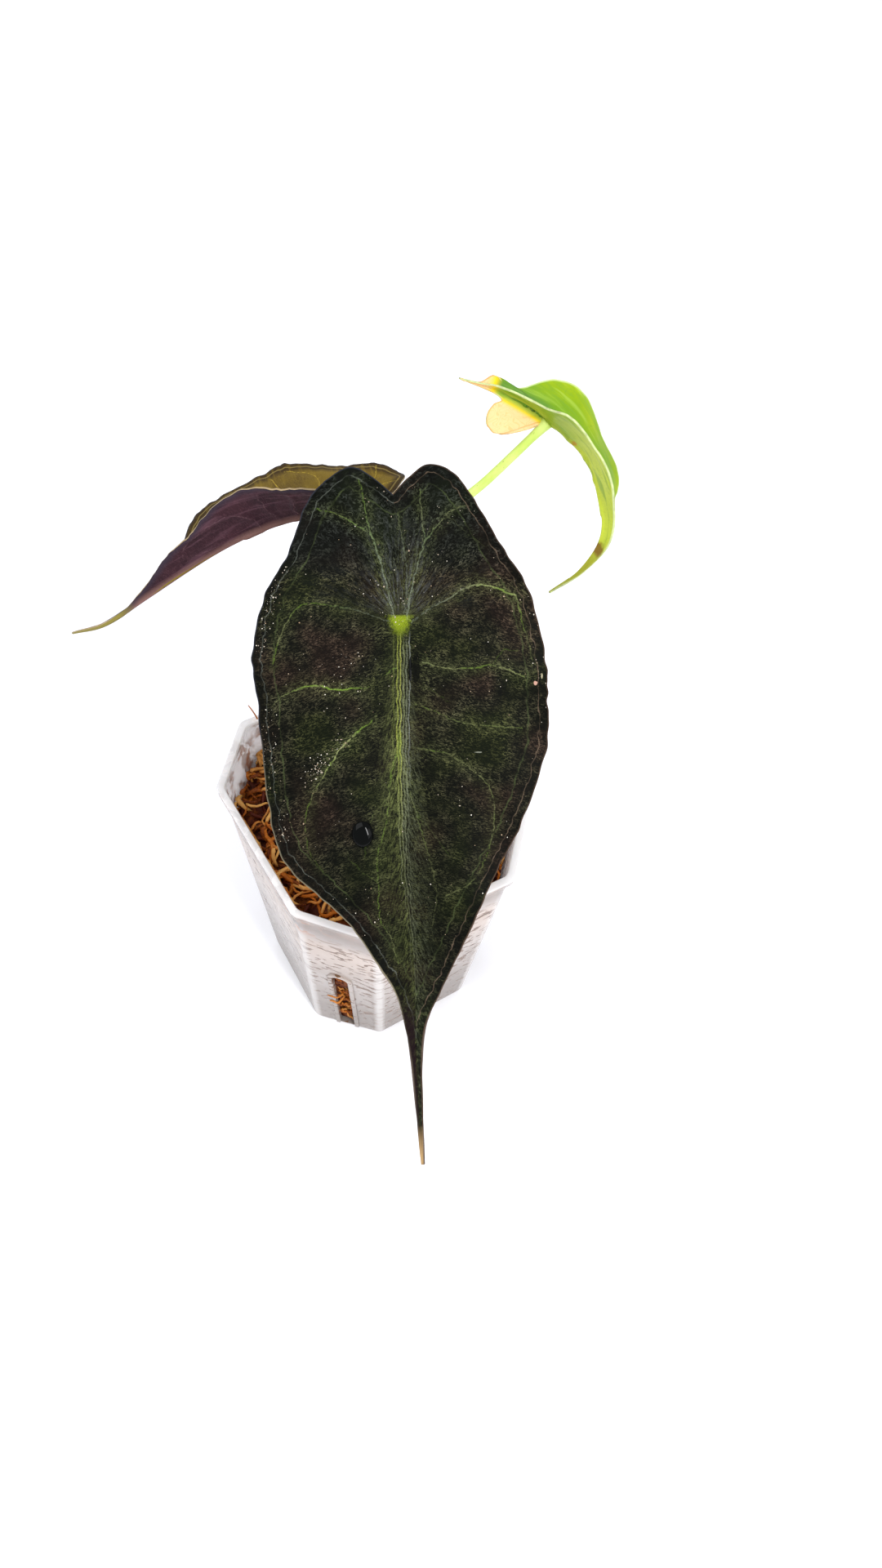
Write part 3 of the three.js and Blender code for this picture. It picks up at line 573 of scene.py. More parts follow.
def wrapped(name, rings):
    """A closed skin over rings of places in millimetres: a rolled-up grid with its ends filled."""
    rings = np.asarray(rings, float)
    rings = np.concatenate([rings, rings[:, :1]], axis=1)
    rows, columns = (count - 1 for count in rings.shape[:2])
    grid = bpy.ops.mesh.primitive_grid_add
    made = primitive(name, grid, x_subdivisions=columns, y_subdivisions=rows, size=2)
    write_points(made, rings.reshape(-1, 3) * MM)
    in_edit_mode(
        made, lambda: bpy.ops.mesh.remove_doubles(threshold=0.004 * MM),
        lambda: bpy.ops.mesh.fill_holes(sides=0),
        lambda: bpy.ops.mesh.normals_make_consistent(inside=False),
    )
    return made


def modified(piece, kind, **settings):
    """Adds one modifier to a piece and applies it."""
    choose(piece)
    modifier = piece.modifiers.new(kind.lower(), kind)
    for name, value in settings.items():
        setattr(modifier, name, value)
    bpy.ops.object.modifier_apply(modifier=modifier.name)


def joined(name, parts):
    """Joins parts into one piece."""
    choose(parts[0])
    for part in parts[1:]:
        part.select_set(True)
    bpy.ops.object.join()
    parts[0].name = parts[0].data.name = name
    return parts[0]


def tubes(name, routes, radii, sides):
    """Thin closed tubes as one mesh: routes is tubes by points by 3, radii is tubes by points."""
    ahead = unit(np.gradient(routes, axis=1))
    off = unit(np.cross(ahead, np.roll(ahead.mean(1, keepdims=True), 1, axis=-1) + (0.31, 0.17, 0.23)))
    over = np.cross(ahead, off)
    angles = np.arange(sides) * math.tau / sides
    rings = routes[:, :, None] + radii[:, :, None, None] * (
        off[:, :, None] * np.cos(angles)[:, None] + over[:, :, None] * np.sin(angles)[:, None]
    )
    count, points = routes.shape[:2]
    grid = np.arange(count * points * sides).reshape(count, points, sides)
    along = [grid[:, :-1], grid[:, 1:]]
    around = [np.roll(part, -1, axis=2) for part in along]
    walls = np.stack([along[0], around[0], around[1], along[1]], -1).reshape(-1, 4)
    ends = np.concatenate([grid[:, 0, ::-1], grid[:, -1]])
    return mesh_piece(name, rings, [*walls.tolist(), *ends.tolist()])


def finish_piece(piece, slot, *nodes, smooth_angle=None):
    """Shades a piece smoothly, and tells the frame what it rides on and stands for. Its slot is not
    used.
    """
    choose(piece)
    if smooth_angle is None:
        bpy.ops.object.shade_smooth()
    else:
        bpy.ops.object.shade_smooth_by_angle(angle=math.radians(smooth_angle))
    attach(piece, BODY)
    if nodes:
        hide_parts(*nodes)


def dress(piece, *materials):
    for material in materials:
        piece.data.materials.append(material)


# Materials. Every leaf keeps at each point: flat (out and along, in millimetres), aim and away (the
# way to the nearest main vein, and how far that is), vein and halo (how strong that vein is, and the
# swelling round it), rim (how far the margin is) and, in the old leaf, bleach (how far it has lost its
# green). Moss and dust keep a tint, and the pot keeps how far its upright edges are.
RGBA = {"out": 2, "data_type": "RGBA"}


def add(tree, kind, inputs, out=0, **settings):
    """Adds one shader node with its settings and links, and gives one of its outputs. The inputs go by
    name or number, or are a list in the order of the node's sockets."""
    made = tree.nodes.new("ShaderNode" + kind)
    for name, value in settings.items():
        setattr(made, name, value)
    for socket, value in inputs.items() if isinstance(inputs, dict) else enumerate(inputs):
        if isinstance(value, bpy.types.NodeSocket):
            tree.links.new(value, made.inputs[socket])
        else:
            made.inputs[socket].default_value = value
    return made.outputs[out] if len(made.outputs) else made


def start_material(name):
    material = bpy.data.materials.new(name)
    material.use_nodes = True
    material.node_tree.nodes.clear()
    return material, material.node_tree


def finish_material(material, base, layers, looks):
    """Lays colours over a base colour, each by its mask, and ends the material with how it shines."""
    tree = material.node_tree
    for mask, paint in layers:
        paint = linear(paint) if isinstance(paint, str) else paint
        base = add(tree, "Mix", {0: mask, 6: base, 7: paint}, **RGBA)
    add(tree, "OutputMaterial", [add(tree, "BsdfPrincipled", {"Base Color": base, **looks})])
    return material


def leaf_patterns(tree, cell, width):
    """What all leaf skins share: the kept values, the main veins' lines, and a net of veinlets."""
    flat, aim, away, vein, halo, rim = (
        add(tree, "Attribute", {}, out=out, attribute_name=name) for name, out in (
            ("flat", "Vector"), ("aim", "Vector"), ("away", "Fac"), ("vein", "Fac"), ("halo", "Fac"),
            ("rim", "Fac"),
        )
    )
    out, along = (add(tree, "SeparateXYZ", [flat], out=axis) for axis in (0, 1))
    aside = add(tree, "Math", [out], operation="ABSOLUTE")
    right = add(tree, "MapRange", [out, -0.01, 0.01])
    # a main vein is a wavering line of uneven width, wider where it is strong
    waver = add(tree, "TexNoise", {"Vector": flat, "Scale": 0.9, "Detail": 2}, out="Color")
    waver = add(tree, "VectorMath", [waver, (0.5, 0.5, 0.5)], operation="SUBTRACT")
    waver = add(tree, "VectorMath", [waver, (0.9, 0.9, 0), aim], operation="MULTIPLY_ADD")
    line = add(tree, "VectorMath", [waver], out=1, operation="LENGTH")
    line = add(tree, "Math", [vein, -0.7 * width, line], operation="MULTIPLY_ADD")
    uneven = add(tree, "TexNoise", {"Vector": flat, "Scale": 2.2, "Detail": 3})
    line = add(tree, "Math", [uneven, 1.4 * width, line], operation="MULTIPLY_ADD")
    line = add(tree, "MapRange", [line, 0.7 * width, 1.8 * width, 1, 0])
    near = add(tree, "MapRange", [away, 0.5, 0.8, 1, 0])
    for mask in (line, near):
        vein = add(tree, "Math", [mask, vein], operation="MULTIPLY")
    # fibres run to the margin: outward from the midrib, and fanned out behind the joint
    behind, ahead = (add(tree, "Math", [along, 0], operation=part) for part in ("MINIMUM", "MAXIMUM"))
    turn = add(tree, "Math", [behind, aside], operation="ARCTAN2")
    across = add(tree, "Math", [turn, 14, ahead], operation="MULTIPLY_ADD")
    across = add(tree, "Math", [aside, -0.25, across], operation="MULTIPLY_ADD")
    reach = add(tree, "CombineXYZ", [out, behind])
    reach = add(tree, "VectorMath", [reach], out=1, operation="LENGTH")
    side = add(tree, "Math", [right, 40], operation="MULTIPLY")
    fibres = add(tree, "CombineXYZ", [reach, across, side])
    # the net is curled strokes along the fibres: contour lines of one noise, broken up by another
    curl = add(tree, "Mapping", {"Vector": fibres, "Scale": (0.5 / cell, 1.5 / cell, 1)})
    curl = add(tree, "TexNoise", {"Vector": curl, "Scale": 1, "Detail": 2, "Distortion": 1.3})
    curl = add(tree, "Math", [curl, 0.5], operation="SUBTRACT")
    curl = add(tree, "Math", [curl], operation="ABSOLUTE")
    curl = add(tree, "MapRange", [curl, 0.004, 0.045, 1, 0])
    broken = add(tree, "TexNoise", {"Vector": flat, "Scale": 0.9 / cell, "Detail": 1})
    broken = add(tree, "MapRange", [broken, 0.4, 0.6, 0.15])
    curl = add(tree, "Math", [curl, broken], operation="MULTIPLY")
    fine = add(tree, "Mapping", {"Vector": fibres, "Scale": (1.5 / cell, 3.2 / cell, 1)})
    fine = add(tree, "TexNoise", {"Vector": fine, "Scale": 1, "Detail": 2, "Distortion": 0.8})
    fine = add(tree, "MapRange", [fine, 0.53, 0.7, 0, 0.8])
    net = add(tree, "Math", [curl, fine], operation="MAXIMUM")
    return SimpleNamespace(
        flat=flat, out=out, along=along, aside=aside, right=right, rim=rim, vein=vein, halo=halo,
        net=net,
    )


def front_upper(colours):
    # Living leaf of the dark kind: a waxy satin skin over near-black green flesh. A curly net of
    # paler veinlets shows through it, with thin fuzzy veins and a midrib like a bundle of threads.
    material, tree = start_material("leaf_skin_near_black")
    seen = leaf_patterns(tree, 0.8, 0.13)
    flat, aside, along, rim, right = seen.flat, seen.aside, seen.along, seen.rim, seen.right
    # broad zones, 15 mm across, from near-black to brown-purple and green
    zone = add(tree, "TexNoise", {"Vector": flat, "Scale": 0.075, "Detail": 1})
    browner = add(tree, "MapRange", [zone, 0.5, 0.62])
    greener = add(tree, "MapRange", [zone, 0.46, 0.36])
    layers = [(browner, colours.blade_brown), (greener, colours.blade_green)]
    # the net, with strokes 1 to 2 mm long: greener along the midrib, greyer in the back lobes, and
    # sparser there and toward the tip
    near_midrib = add(tree, "MapRange", [aside, 1, 8, 0.8, 0])
    lobes = add(tree, "MapRange", [along, -8, -15])
    thread = colours.net
    for share, code in (
        (greener, "#545633"), (browner, "#5C4C3E"), (near_midrib, "#5A6038"), (lobes, "#4A4E48"),
    ):
        thread = add(tree, "Mix", {0: share, 6: thread, 7: linear(code)}, **RGBA)
    patchy = add(tree, "TexNoise", {"Vector": flat, "Scale": 0.3, "Detail": 3})
    patchy = add(tree, "MapRange", [patchy, 0.38, 0.64, 0.12, 0.9])
    sparser = add(tree, "MapRange", [along, 18, 44, 1, 0.6])
    barer = add(tree, "Math", [lobes, -0.4, sparser], operation="MULTIPLY_ADD")
    share = add(tree, "Math", [seen.net, patchy], operation="MULTIPLY")
    share = add(tree, "Math", [share, barer], operation="MULTIPLY")
    # the fuzz round the veins, broken up by the net
    fuzz = add(tree, "Math", [seen.net, 0.7, 0.04], operation="MULTIPLY_ADD")
    fuzz = add(tree, "Math", [fuzz, seen.halo], operation="MULTIPLY")
    layers += [(share, thread), (fuzz, "#646C42")]
    # the midrib's fuzz: grainy hairs that leave it outward and toward the tip, where they are dimmer
    grain = add(tree, "TexNoise", {"Vector": flat, "Scale": 4, "Detail": 2})
    grain = add(tree, "MapRange", [grain, 0.38, 0.62])
    lean = add(tree, "Math", [along, -0.35, aside], operation="MULTIPLY_ADD")
    side = add(tree, "Math", [right, 9], operation="MULTIPLY")
    hairs = add(tree, "CombineXYZ", [lean, along, side])
    hairs = add(tree, "Mapping", {"Vector": hairs, "Scale": (3, 0.7, 1)})
    hairs = {"Vector": hairs, "Scale": 1, "Detail": 4, "Roughness": 0.6, "Distortion": 0.7}
    hairs = add(tree, "MapRange", [add(tree, "TexNoise", hairs), 0.44, 0.66])
    rough = add(tree, "Math", [grain, 0.7, 0.3], operation="MULTIPLY_ADD")
    reach = add(tree, "MapRange", [along, 2, 34, 1.9, 5])
    spread = add(tree, "Math", [aside, reach], operation="DIVIDE")
    spread = add(tree, "MapRange", [spread, 0.1, 1, 0.9, 0])
    start = add(tree, "MapRange", [along, 1, 16, 0.25])
    front = add(tree, "MapRange", [along, 0, 1])
    dimmer = add(tree, "MapRange", [along, 26, 46, 1, 0.45])
    for other in (rough, spread, start, front, dimmer):
        hairs = add(tree, "Math", [hairs, other], operation="MULTIPLY")
    hair = add(tree, "Mix", {0: right, 6: linear("#767E48"), 7: linear("#70765A")}, **RGBA)
    # behind the joint, grey streaks fan out into the two back lobes
    turn = add(tree, "Math", [seen.out, along], operation="ARCTAN2")
    far = add(tree, "VectorMath", [flat], out=1, operation="LENGTH")
    fan = add(tree, "CombineXYZ", [turn, far, 0])
    fan = add(tree, "Mapping", {"Vector": fan, "Scale": (20, 0.3, 1)})
    fan = add(tree, "TexNoise", {"Vector": fan, "Scale": 1, "Detail": 3, "Distortion": 0.5})
    fan = add(tree, "MapRange", [fan, 0.46, 0.7])
    behind = add(tree, "MapRange", [along, -1.5, -4])
    fade = add(tree, "MapRange", [far, 3, 22, 0.6, 0])
    inner = add(tree, "MapRange", [aside, 2.5, 7, 1, 0.15])
    for other in (rough, behind, fade, inner):
        fan = add(tree, "Math", [fan, other], operation="MULTIPLY")
    layers += [(hairs, hair), (fan, "#6E7272")]
    # the midrib itself: thin threads side by side. Each one: how far out it runs, where it starts and
    # ends along the leaf, half its width, its strength and its colour.
    wander = add(tree, "TexNoise", {"Vector": flat, "Scale": 0.35, "Detail": 2})
    wander = add(tree, "Math", [wander, 0.5], operation="SUBTRACT")
    wander = add(tree, "Math", [wander, 1.2, seen.out], operation="MULTIPLY_ADD")
    rough = add(tree, "Math", [grain, 0.5, 0.5], operation="MULTIPLY_ADD")
    greyer = add(tree, "MapRange", [along, 22, 38, 0, 0.85])
    for place, low, high, width, strength, code in (
        (-1.2, 1, 30, 0.13, 0.3, "#75803A"), (-0.5, 1, 70, 0.15, 0.6, "#98A048"),
        (0.15, 1, 100, 0.16, 0.65, "#A2A650"), (0.75, 2, 80, 0.13, 0.5, "#8A9163"),
        (1.25, 2, 50, 0.14, 0.45, "#838A72"), (1.75, 1, 30, 0.14, 0.5, "#878C84"),
        (0, 18, 27, 0.6, 0.4, "#8FA83C"),
    ):
        near = add(tree, "Math", [wander, place], operation="SUBTRACT")
        near = add(tree, "Math", [near], operation="ABSOLUTE")
        near = add(tree, "MapRange", [near, 0.3 * width, width, strength, 0])
        start = add(tree, "MapRange", [along, low, low + 2])
        end = add(tree, "MapRange", [along, high, 0.6 * high])
        for window in (start, end, rough, dimmer):
            near = add(tree, "Math", [near, window], operation="MULTIPLY")
        shade = add(tree, "Mix", {0: greyer, 6: linear(code), 7: linear("#7C8268")}, **RGBA)
        layers.append((near, shade))
    # the main veins: grey near the joint, green or straw further out
    grey = add(tree, "Math", [along, 0.5, far], operation="MULTIPLY_ADD")
    grey = add(tree, "MapRange", [grey, 6, 13, 1, 0])
    straw = add(tree, "TexNoise", {"Vector": flat, "Scale": 0.12})
    straw = add(tree, "Math", [right, 0.1, straw], operation="MULTIPLY_ADD")
    straw = add(tree, "MapRange", [straw, 0.5, 0.62, 0, 0.8])
    vein = add(tree, "Mix", {0: straw, 6: colours.vein_green, 7: linear("#8A8A62")}, **RGBA)
    vein = add(tree, "Mix", {0: grey, 6: vein, 7: colours.vein_grey}, **RGBA)
    layers.append((add(tree, "Math", [seen.vein, rough], operation="MULTIPLY"), vein))
    # the bright spot over the stalk: sharp behind, 4 mm wide, then a dimmer neck. Each one: half its
    # width, where it ends and begins to fade, and its strength.
    ragged = add(tree, "TexNoise", {"Vector": flat, "Scale": 1.8, "Detail": 3})
    narrow = add(tree, "Math", [ragged, 2.4, aside], operation="MULTIPLY_ADD")
    narrow = add(tree, "Math", [along, 0.25, narrow], operation="MULTIPLY_ADD")
    behind = add(tree, "MapRange", [along, -1.8, -1.3])
    for wide, end, fading, strength in ((2.9, 2.2, -0.2, 0.95), (2.3, 6, 0.5, 0.3)):
        spot = add(tree, "MapRange", [narrow, wide - 0.9, wide + 0.5, strength, 0])
        ahead = add(tree, "MapRange", [along, end, fading])
        for window in (behind, ahead, rough):
            spot = add(tree, "Math", [spot, window], operation="MULTIPLY")
        layers.append((spot, colours.joint))
    # inside the margin: dark ridges across, a vein, a thin pale line, and the coloured edge itself
    ridges = add(tree, "TexNoise", {"Vector": flat, "Scale": 0.8, "Detail": 1})
    ridges = add(tree, "MapRange", [ridges, 0.42, 0.6, 0, 0.8])
    band = add(tree, "MapRange", [rim, 3.4, 1.6])
    layers.append((add(tree, "Math", [ridges, band], operation="MULTIPLY"), "#0A0B08"))
    shifted = add(tree, "TexNoise", {"Vector": flat, "Scale": 0.5, "Detail": 3})
    shifted = add(tree, "Math", [shifted, 1.4, rim], operation="MULTIPLY_ADD")
    worn = add(tree, "TexNoise", {"Vector": flat, "Scale": 0.3, "Detail": 2})
    worn = add(tree, "MapRange", [worn, 0.4, 0.6, 0.25])
    inner_line = add(tree, "Mix", {0: right, 6: linear("#5A5E56"), 7: linear("#6A5A4A")}, **RGBA)
    for place, width, paint, strength in ((4.5, 0.2, "#4C5634", 0.45), (2.4, 0.13, inner_line, 0.6)):
        line = add(tree, "Math", [shifted, place], operation="SUBTRACT")
        line = add(tree, "Math", [line], operation="ABSOLUTE")
        line = add(tree, "MapRange", [line, 0.04, width, strength, 0])
        layers.append((add(tree, "Math", [line, worn], operation="MULTIPLY"), paint))
    edge = add(tree, "MapRange", [rim, 0.08, 0.3, 0.8, 0])
    lower = add(tree, "MapRange", [along, 18, 30])
    rim_colour = add(tree, "Mix", {0: lower, 6: linear("#34363F"), 7: linear("#8F866E")}, **RGBA)
    rim_colour = add(tree, "Mix", {0: right, 6: rim_colour, 7: linear("#57463A")}, **RGBA)
    # the left margin is nearly black along the tail: painted shade and the purple underside of a margin
    # that curls under, though the mesh doesn't curl it. And the drip tip is dry
    curled_underside_shade = add(tree, "MapRange", [seen.out, -0.1, -0.5])
    tail = add(tree, "MapRange", [along, 66, 74, 0, 0.85])
    curled_underside_shade = add(tree, "Math", [curled_underside_shade, tail], operation="MULTIPLY")
    tan = add(tree, "MapRange", [along, 98, 106])
    layers += [(edge, rim_colour), (curled_underside_shade, "#1A0E12"), (tan, "#A88A60")]
    # single patches: black where the round water drop lies, a painted black shadow beside the water
    # streak, and three dried scars. Each one: its place (out, along), half its width and length, its
    # strength and its colour.
    for place, half, strength, code in (
        ((-7, 36.4), (2, 2.3), 0.92, "#040503"), ((2.9, 7.7), (0.7, 2.7), 0.85, "#060705"),
        ((23.8, 10), (0.34, 0.36), 0.8, "#C79B88"), ((25, 8.7), (0.16, 0.55), 0.7, "#B0AA88"),
        ((13.7, 22.4), (0.6, 0.12), 0.6, "#8A8C7C"),
    ):
        patch = add(tree, "VectorMath", [flat, (*place, 0)], operation="SUBTRACT")
        patch = add(tree, "VectorMath", [patch, (1 / half[0], 1 / half[1], 0)], operation="MULTIPLY")
        patch = add(tree, "VectorMath", [patch], out=1, operation="LENGTH")
        patch = add(tree, "Math", [ragged, 1.2, patch], operation="MULTIPLY_ADD")
        layers.append((add(tree, "MapRange", [patch, 1.5, 1.7, strength, 0]), code))
    # the skin's grain stands up by a twentieth of a millimetre
    height = add(tree, "Math", [seen.net, seen.vein], operation="ADD")
    bump = add(tree, "Bump", {"Height": height, "Strength": 0.5, "Distance": 0.05 * MM})
    looks = {"Roughness": 0.48, "Specular IOR Level": 0.03, "Normal": bump}
    return finish_material(material, colours.blade_dark, layers, looks)


def purple_under(name, colours, dry):
    # The back of a dark leaf: matt purple-brown skin with a pink sheen and finer, paler veins. Its
    # tip is olive from a distance along the leaf, called dry, in millimetres.
    material, tree = start_material(name)
    seen = leaf_patterns(tree, 0.9, 0.1)
    zone = add(tree, "TexNoise", {"Vector": seen.flat, "Scale": 0.16, "Detail": 4})
    zone = add(tree, "MapRange", [zone, 0.35, 0.68])
    # fine streaks of painted sheen run along the leaf
    streak = add(tree, "Mapping", {"Vector": seen.flat, "Scale": (1.1, 0.12, 1)})
    streak = add(tree, "TexNoise", {"Vector": streak, "Scale": 1, "Detail": 4, "Distortion": 0.8})
    streak = add(tree, "MapRange", [streak, 0.52, 0.7, 0, 0.28])
    share = add(tree, "Math", [seen.net, 0.3], operation="MULTIPLY")
    veins = add(tree, "Math", [seen.vein, 0.5], operation="MULTIPLY")
    keel = add(tree, "MapRange", [seen.aside, 0.2, 1.4, 0.5, 0])
    front = add(tree, "MapRange", [seen.along, -1, 0.5])
    keel = add(tree, "Math", [keel, front], operation="MULTIPLY")
    tip = add(tree, "MapRange", [seen.along, dry, dry + 5])
    rim = add(tree, "MapRange", [seen.rim, 0.2, 1.2, 0.7, 0])
    layers = [
        (zone, "#381E25"), (streak, "#74525E"), (share, "#5E3E46"), (veins, "#85666A"),
        (keel, "#9A7468"), (rim, "#2E2A36"), (tip, "#857A34"),
    ]
    height = add(tree, "Math", [seen.net, 0.6], operation="MULTIPLY")
    looks = {
        "Roughness": 0.5, "Specular IOR Level": 0.12, "Sheen Weight": 0.04, "Sheen Roughness": 0.4,
        "Sheen Tint": linear("#E8C8D8"),
        "Normal": add(tree, "Bump", {"Height": height, "Strength": 0.4, "Distance": 0.06 * MM}),
    }
    return finish_material(material, colours.under_purple, layers, looks)


def olive_upper(colours):
    # The left leaf's face: satin golden-olive skin with golden veins, dark brown toward its margin.
    material, tree = start_material("leaf_skin_olive")
    seen = leaf_patterns(tree, 1, 0.12)
    zone = add(tree, "TexNoise", {"Vector": seen.flat, "Scale": 0.12, "Detail": 3})
    zone = add(tree, "MapRange", [zone, 0.4, 0.65])
    # golden veinlets a millimetre apart run straight to the margin
    comb = add(tree, "Mapping", {"Vector": seen.flat, "Scale": (0.12, 1.3, 1)})
    comb = add(tree, "TexNoise", {"Vector": comb, "Scale": 1, "Detail": 2, "Distortion": 0.5})
    comb = add(tree, "MapRange", [comb, 0.54, 0.66, 0, 0.22])
    near_rim = add(tree, "MapRange", [seen.rim, 1.4, 2.6, 0.85, 0])
    tip = add(tree, "MapRange", [seen.along, 26, 40])
    share = add(tree, "Math", [seen.net, 0.35], operation="MULTIPLY")
    line = add(tree, "Math", [seen.rim, 1], operation="SUBTRACT")
    line = add(tree, "Math", [line], operation="ABSOLUTE")
    line = add(tree, "MapRange", [line, 0.06, 0.2, 0.6, 0])
    edge = add(tree, "MapRange", [seen.rim, 0.1, 0.35, 0.8, 0])
    layers = [
        (zone, "#54421A"), (tip, "#857A30"), (share, "#8A7430"), (near_rim, "#2C1E0E"),
        (comb, "#8C7428"), (line, "#8E7C44"), (seen.vein, "#C0A63C"), (edge, "#3A3634"),
    ]
    bump = add(tree, "Bump", {"Height": seen.net, "Strength": 0.4, "Distance": 0.05 * MM})
    looks = {"Roughness": 0.45, "Specular IOR Level": 0.12, "Normal": bump}
    return finish_material(material, colours.olive, layers, looks)


def lime_skin(colours, under):
    # An old leaf that is losing its green: thin satin skin, yellow-green, bleached through yellow to
    # cream on its hanging lobe and its back tip, with an orange margin there. Its back is paler.
    material, tree = start_material("leaf_back_fading" if under else "leaf_skin_fading")
    seen = leaf_patterns(tree, 1.3, 0.12)
    flat, along = seen.flat, seen.along
    zone = add(tree, "TexNoise", {"Vector": flat, "Scale": 0.14, "Detail": 2})
    layers = [(add(tree, "MapRange", [zone, 0.38, 0.62]), "#A4B834" if under else "#98AC0C")]
    # the face is greener and darker inside the fold and behind the joint, a painted shade there; the
    # back is yellower past its keel and ahead of the joint
    inside = add(tree, "MapRange", [seen.aside, 1, 1.8 if under else 8.5, 0.9, 0])
    layers.append((inside, "#A9B83C" if under else "#588A1A"))
    if under:
        layers.append((add(tree, "MapRange", [along, 3, 9, 0, 0.85]), "#C6D240"))
    else:
        # painted shade: a darker green strip behind the joint, close beside the midrib
        behind = add(tree, "MapRange", [along, 1, -1.5, 0, 0.85])
        fold = add(tree, "MapRange", [seen.out, 1.6, 3.2, 1, 0])
        hidden = add(tree, "MapRange", [seen.out, 0.4, 0.9])
        for mask in (fold, hidden):
            behind = add(tree, "Math", [behind, mask], operation="MULTIPLY")
        layers.append((behind, "#4F7A38"))
    share = add(tree, "Math", [seen.net, 0.18], operation="MULTIPLY")
    # pale creases half a millimetre wide run along the leaf, a painted sheen over a slight bump, with
    # darker green furrows beside them, a painted shade
    crease_and_sheen = add(tree, "Mapping", {"Vector": flat, "Scale": (0.9, 0.09, 1)})
    crease_and_sheen = add(tree, "TexNoise", {"Vector": crease_and_sheen, "Scale": 1, "Detail": 3, "Distortion": 0.6})
    crease_and_sheen = add(tree, "MapRange", [crease_and_sheen, 0.56, 0.68, 0, 0.3])
    furrow_shade = add(tree, "Mapping", {"Vector": flat, "Location": (3, 1, 0), "Scale": (0.6, 0.12, 1)})
    furrow_shade = add(tree, "TexNoise", {"Vector": furrow_shade, "Scale": 1, "Detail": 3, "Distortion": 0.9})
    furrow_shade = add(tree, "MapRange", [furrow_shade, 0.52, 0.66, 0, 0.6])
    # the tip is drying, and there is a rusty spot and a brown end on the back, and a dark streak on
    # the face. Each one: its place (out, along), its size and its colour.
    drying = add(tree, "MapRange", [along, 28, 35, 0, 0.85])
    layers += [
        (share, "#6E9420"), (seen.vein, "#6E9420"), (crease_and_sheen, "#AECA5A"), (furrow_shade, "#6C9426"),
        (drying, "#A0A01C"),
    ]
    soft = add(tree, "TexNoise", {"Vector": flat, "Scale": 1.4, "Detail": 2})
    back_spots = [((-0.9, 6.3), 0.8, "#B98A2C"), ((-0.8, 31.4), 1.9, "#7A4E16")]
    for place, size, code in back_spots if under else [((5.6, 24.6), 1.3, "#5C5A1C")]:
        spot = add(tree, "VectorMath", [flat, (*place, 0)], out=1, operation="DISTANCE")
        spot = add(tree, "Math", [soft, 1.2, spot], operation="MULTIPLY_ADD")
        layers.append((add(tree, "MapRange", [spot, 0.5 * size + 0.6, size + 0.6, 0.85, 0]), code))
    # the bleached lobe has faint tan rings, and the margin is a whitish or orange line
    bleach = add(tree, "Attribute", {}, out="Fac", attribute_name="bleach")
    yellow = add(tree, "MapRange", [bleach, 0.02, 0.4])
    cream = add(tree, "MapRange", [bleach, 0.4, 0.85])
    ring = add(tree, "TexNoise", {"Vector": flat, "Scale": 0.35, "Detail": 1, "Distortion": 1})
    ring = add(tree, "Math", [ring, 60], operation="MULTIPLY")
    ring = add(tree, "Math", [ring], operation="SINE")
    ring = add(tree, "MapRange", [ring, 0.6, 1, 0, 0.45])
    ring = add(tree, "Math", [ring, cream], operation="MULTIPLY")
    edge = add(tree, "MapRange", [seen.rim, 0.1, 0.36, 0.7, 0])
    wide = add(tree, "MapRange", [along, 24, 34, 1, 0.1])
    edge = add(tree, "Math", [edge, wide], operation="MULTIPLY")
    border = add(tree, "Mix", {0: yellow, 6: linear("#D5E0A8"), 7: linear("#DC9A50")}, **RGBA)
    layers += [(yellow, "#E8C81C"), (cream, colours.cream), (ring, "#E2A85A"), (edge, border)]
    looks = {
        "Roughness": 0.5 if under else 0.42, "Specular IOR Level": 0.15,
        "Normal": add(tree, "Bump", {"Height": crease_and_sheen, "Strength": 0.4, "Distance": 0.15 * MM}),
        "Subsurface Weight": 0.1, "Subsurface Radius": (0.8, 1, 0.2), "Subsurface Scale": 0.6 * MM,
    }
    return finish_material(material, colours.lime_under if under else colours.lime, layers, looks)


def leaf_edge(name, code):
    # The cut-thin edge of a leaf, where the skins of its two faces meet and dry out.
    material, tree = start_material(name)
    where = add(tree, "TexCoord", {}, out="Object")
    tone = add(tree, "TexNoise", {"Vector": where, "Scale": 900, "Detail": 2})
    tone = add(tree, "MapRange", [tone, 0.3, 0.7, 0, 0.4])
    looks = {"Roughness": 0.5, "Specular IOR Level": 0.3}
    return finish_material(material, linear(code), [(tone, "#3A3026")], looks)


def stalk_skin(name, colours, code, flecks):
    # A leaf stalk: smooth, slightly waxy green skin with brown flecks a millimetre long.
    material, tree = start_material(name)
    where = add(tree, "TexCoord", {}, out="Object")
    long = add(tree, "Mapping", {"Vector": where, "Scale": (1, 1, 0.35)})
    tone = add(tree, "TexNoise", {"Vector": long, "Scale": 260, "Detail": 3})
    tone = add(tree, "MapRange", [tone, 0.35, 0.65])
    speck = add(tree, "TexNoise", {"Vector": long, "Scale": 900, "Detail": 2})
    speck = add(tree, "MapRange", [speck, 0.66 - flecks, 0.72 - flecks, 0, 0.75])
    looks = {
        "Roughness": 0.36, "Specular IOR Level": 0.4,
        "Normal": add(tree, "Bump", {"Height": tone, "Strength": 0.3, "Distance": 0.05 * MM}),
        "Subsurface Weight": 0.15, "Subsurface Radius": (0.8, 1, 0.2), "Subsurface Scale": 0.8 * MM,
    }
    return finish_material(material, colours.stalk, [(tone, code), (speck, "#7A5A30")], looks)


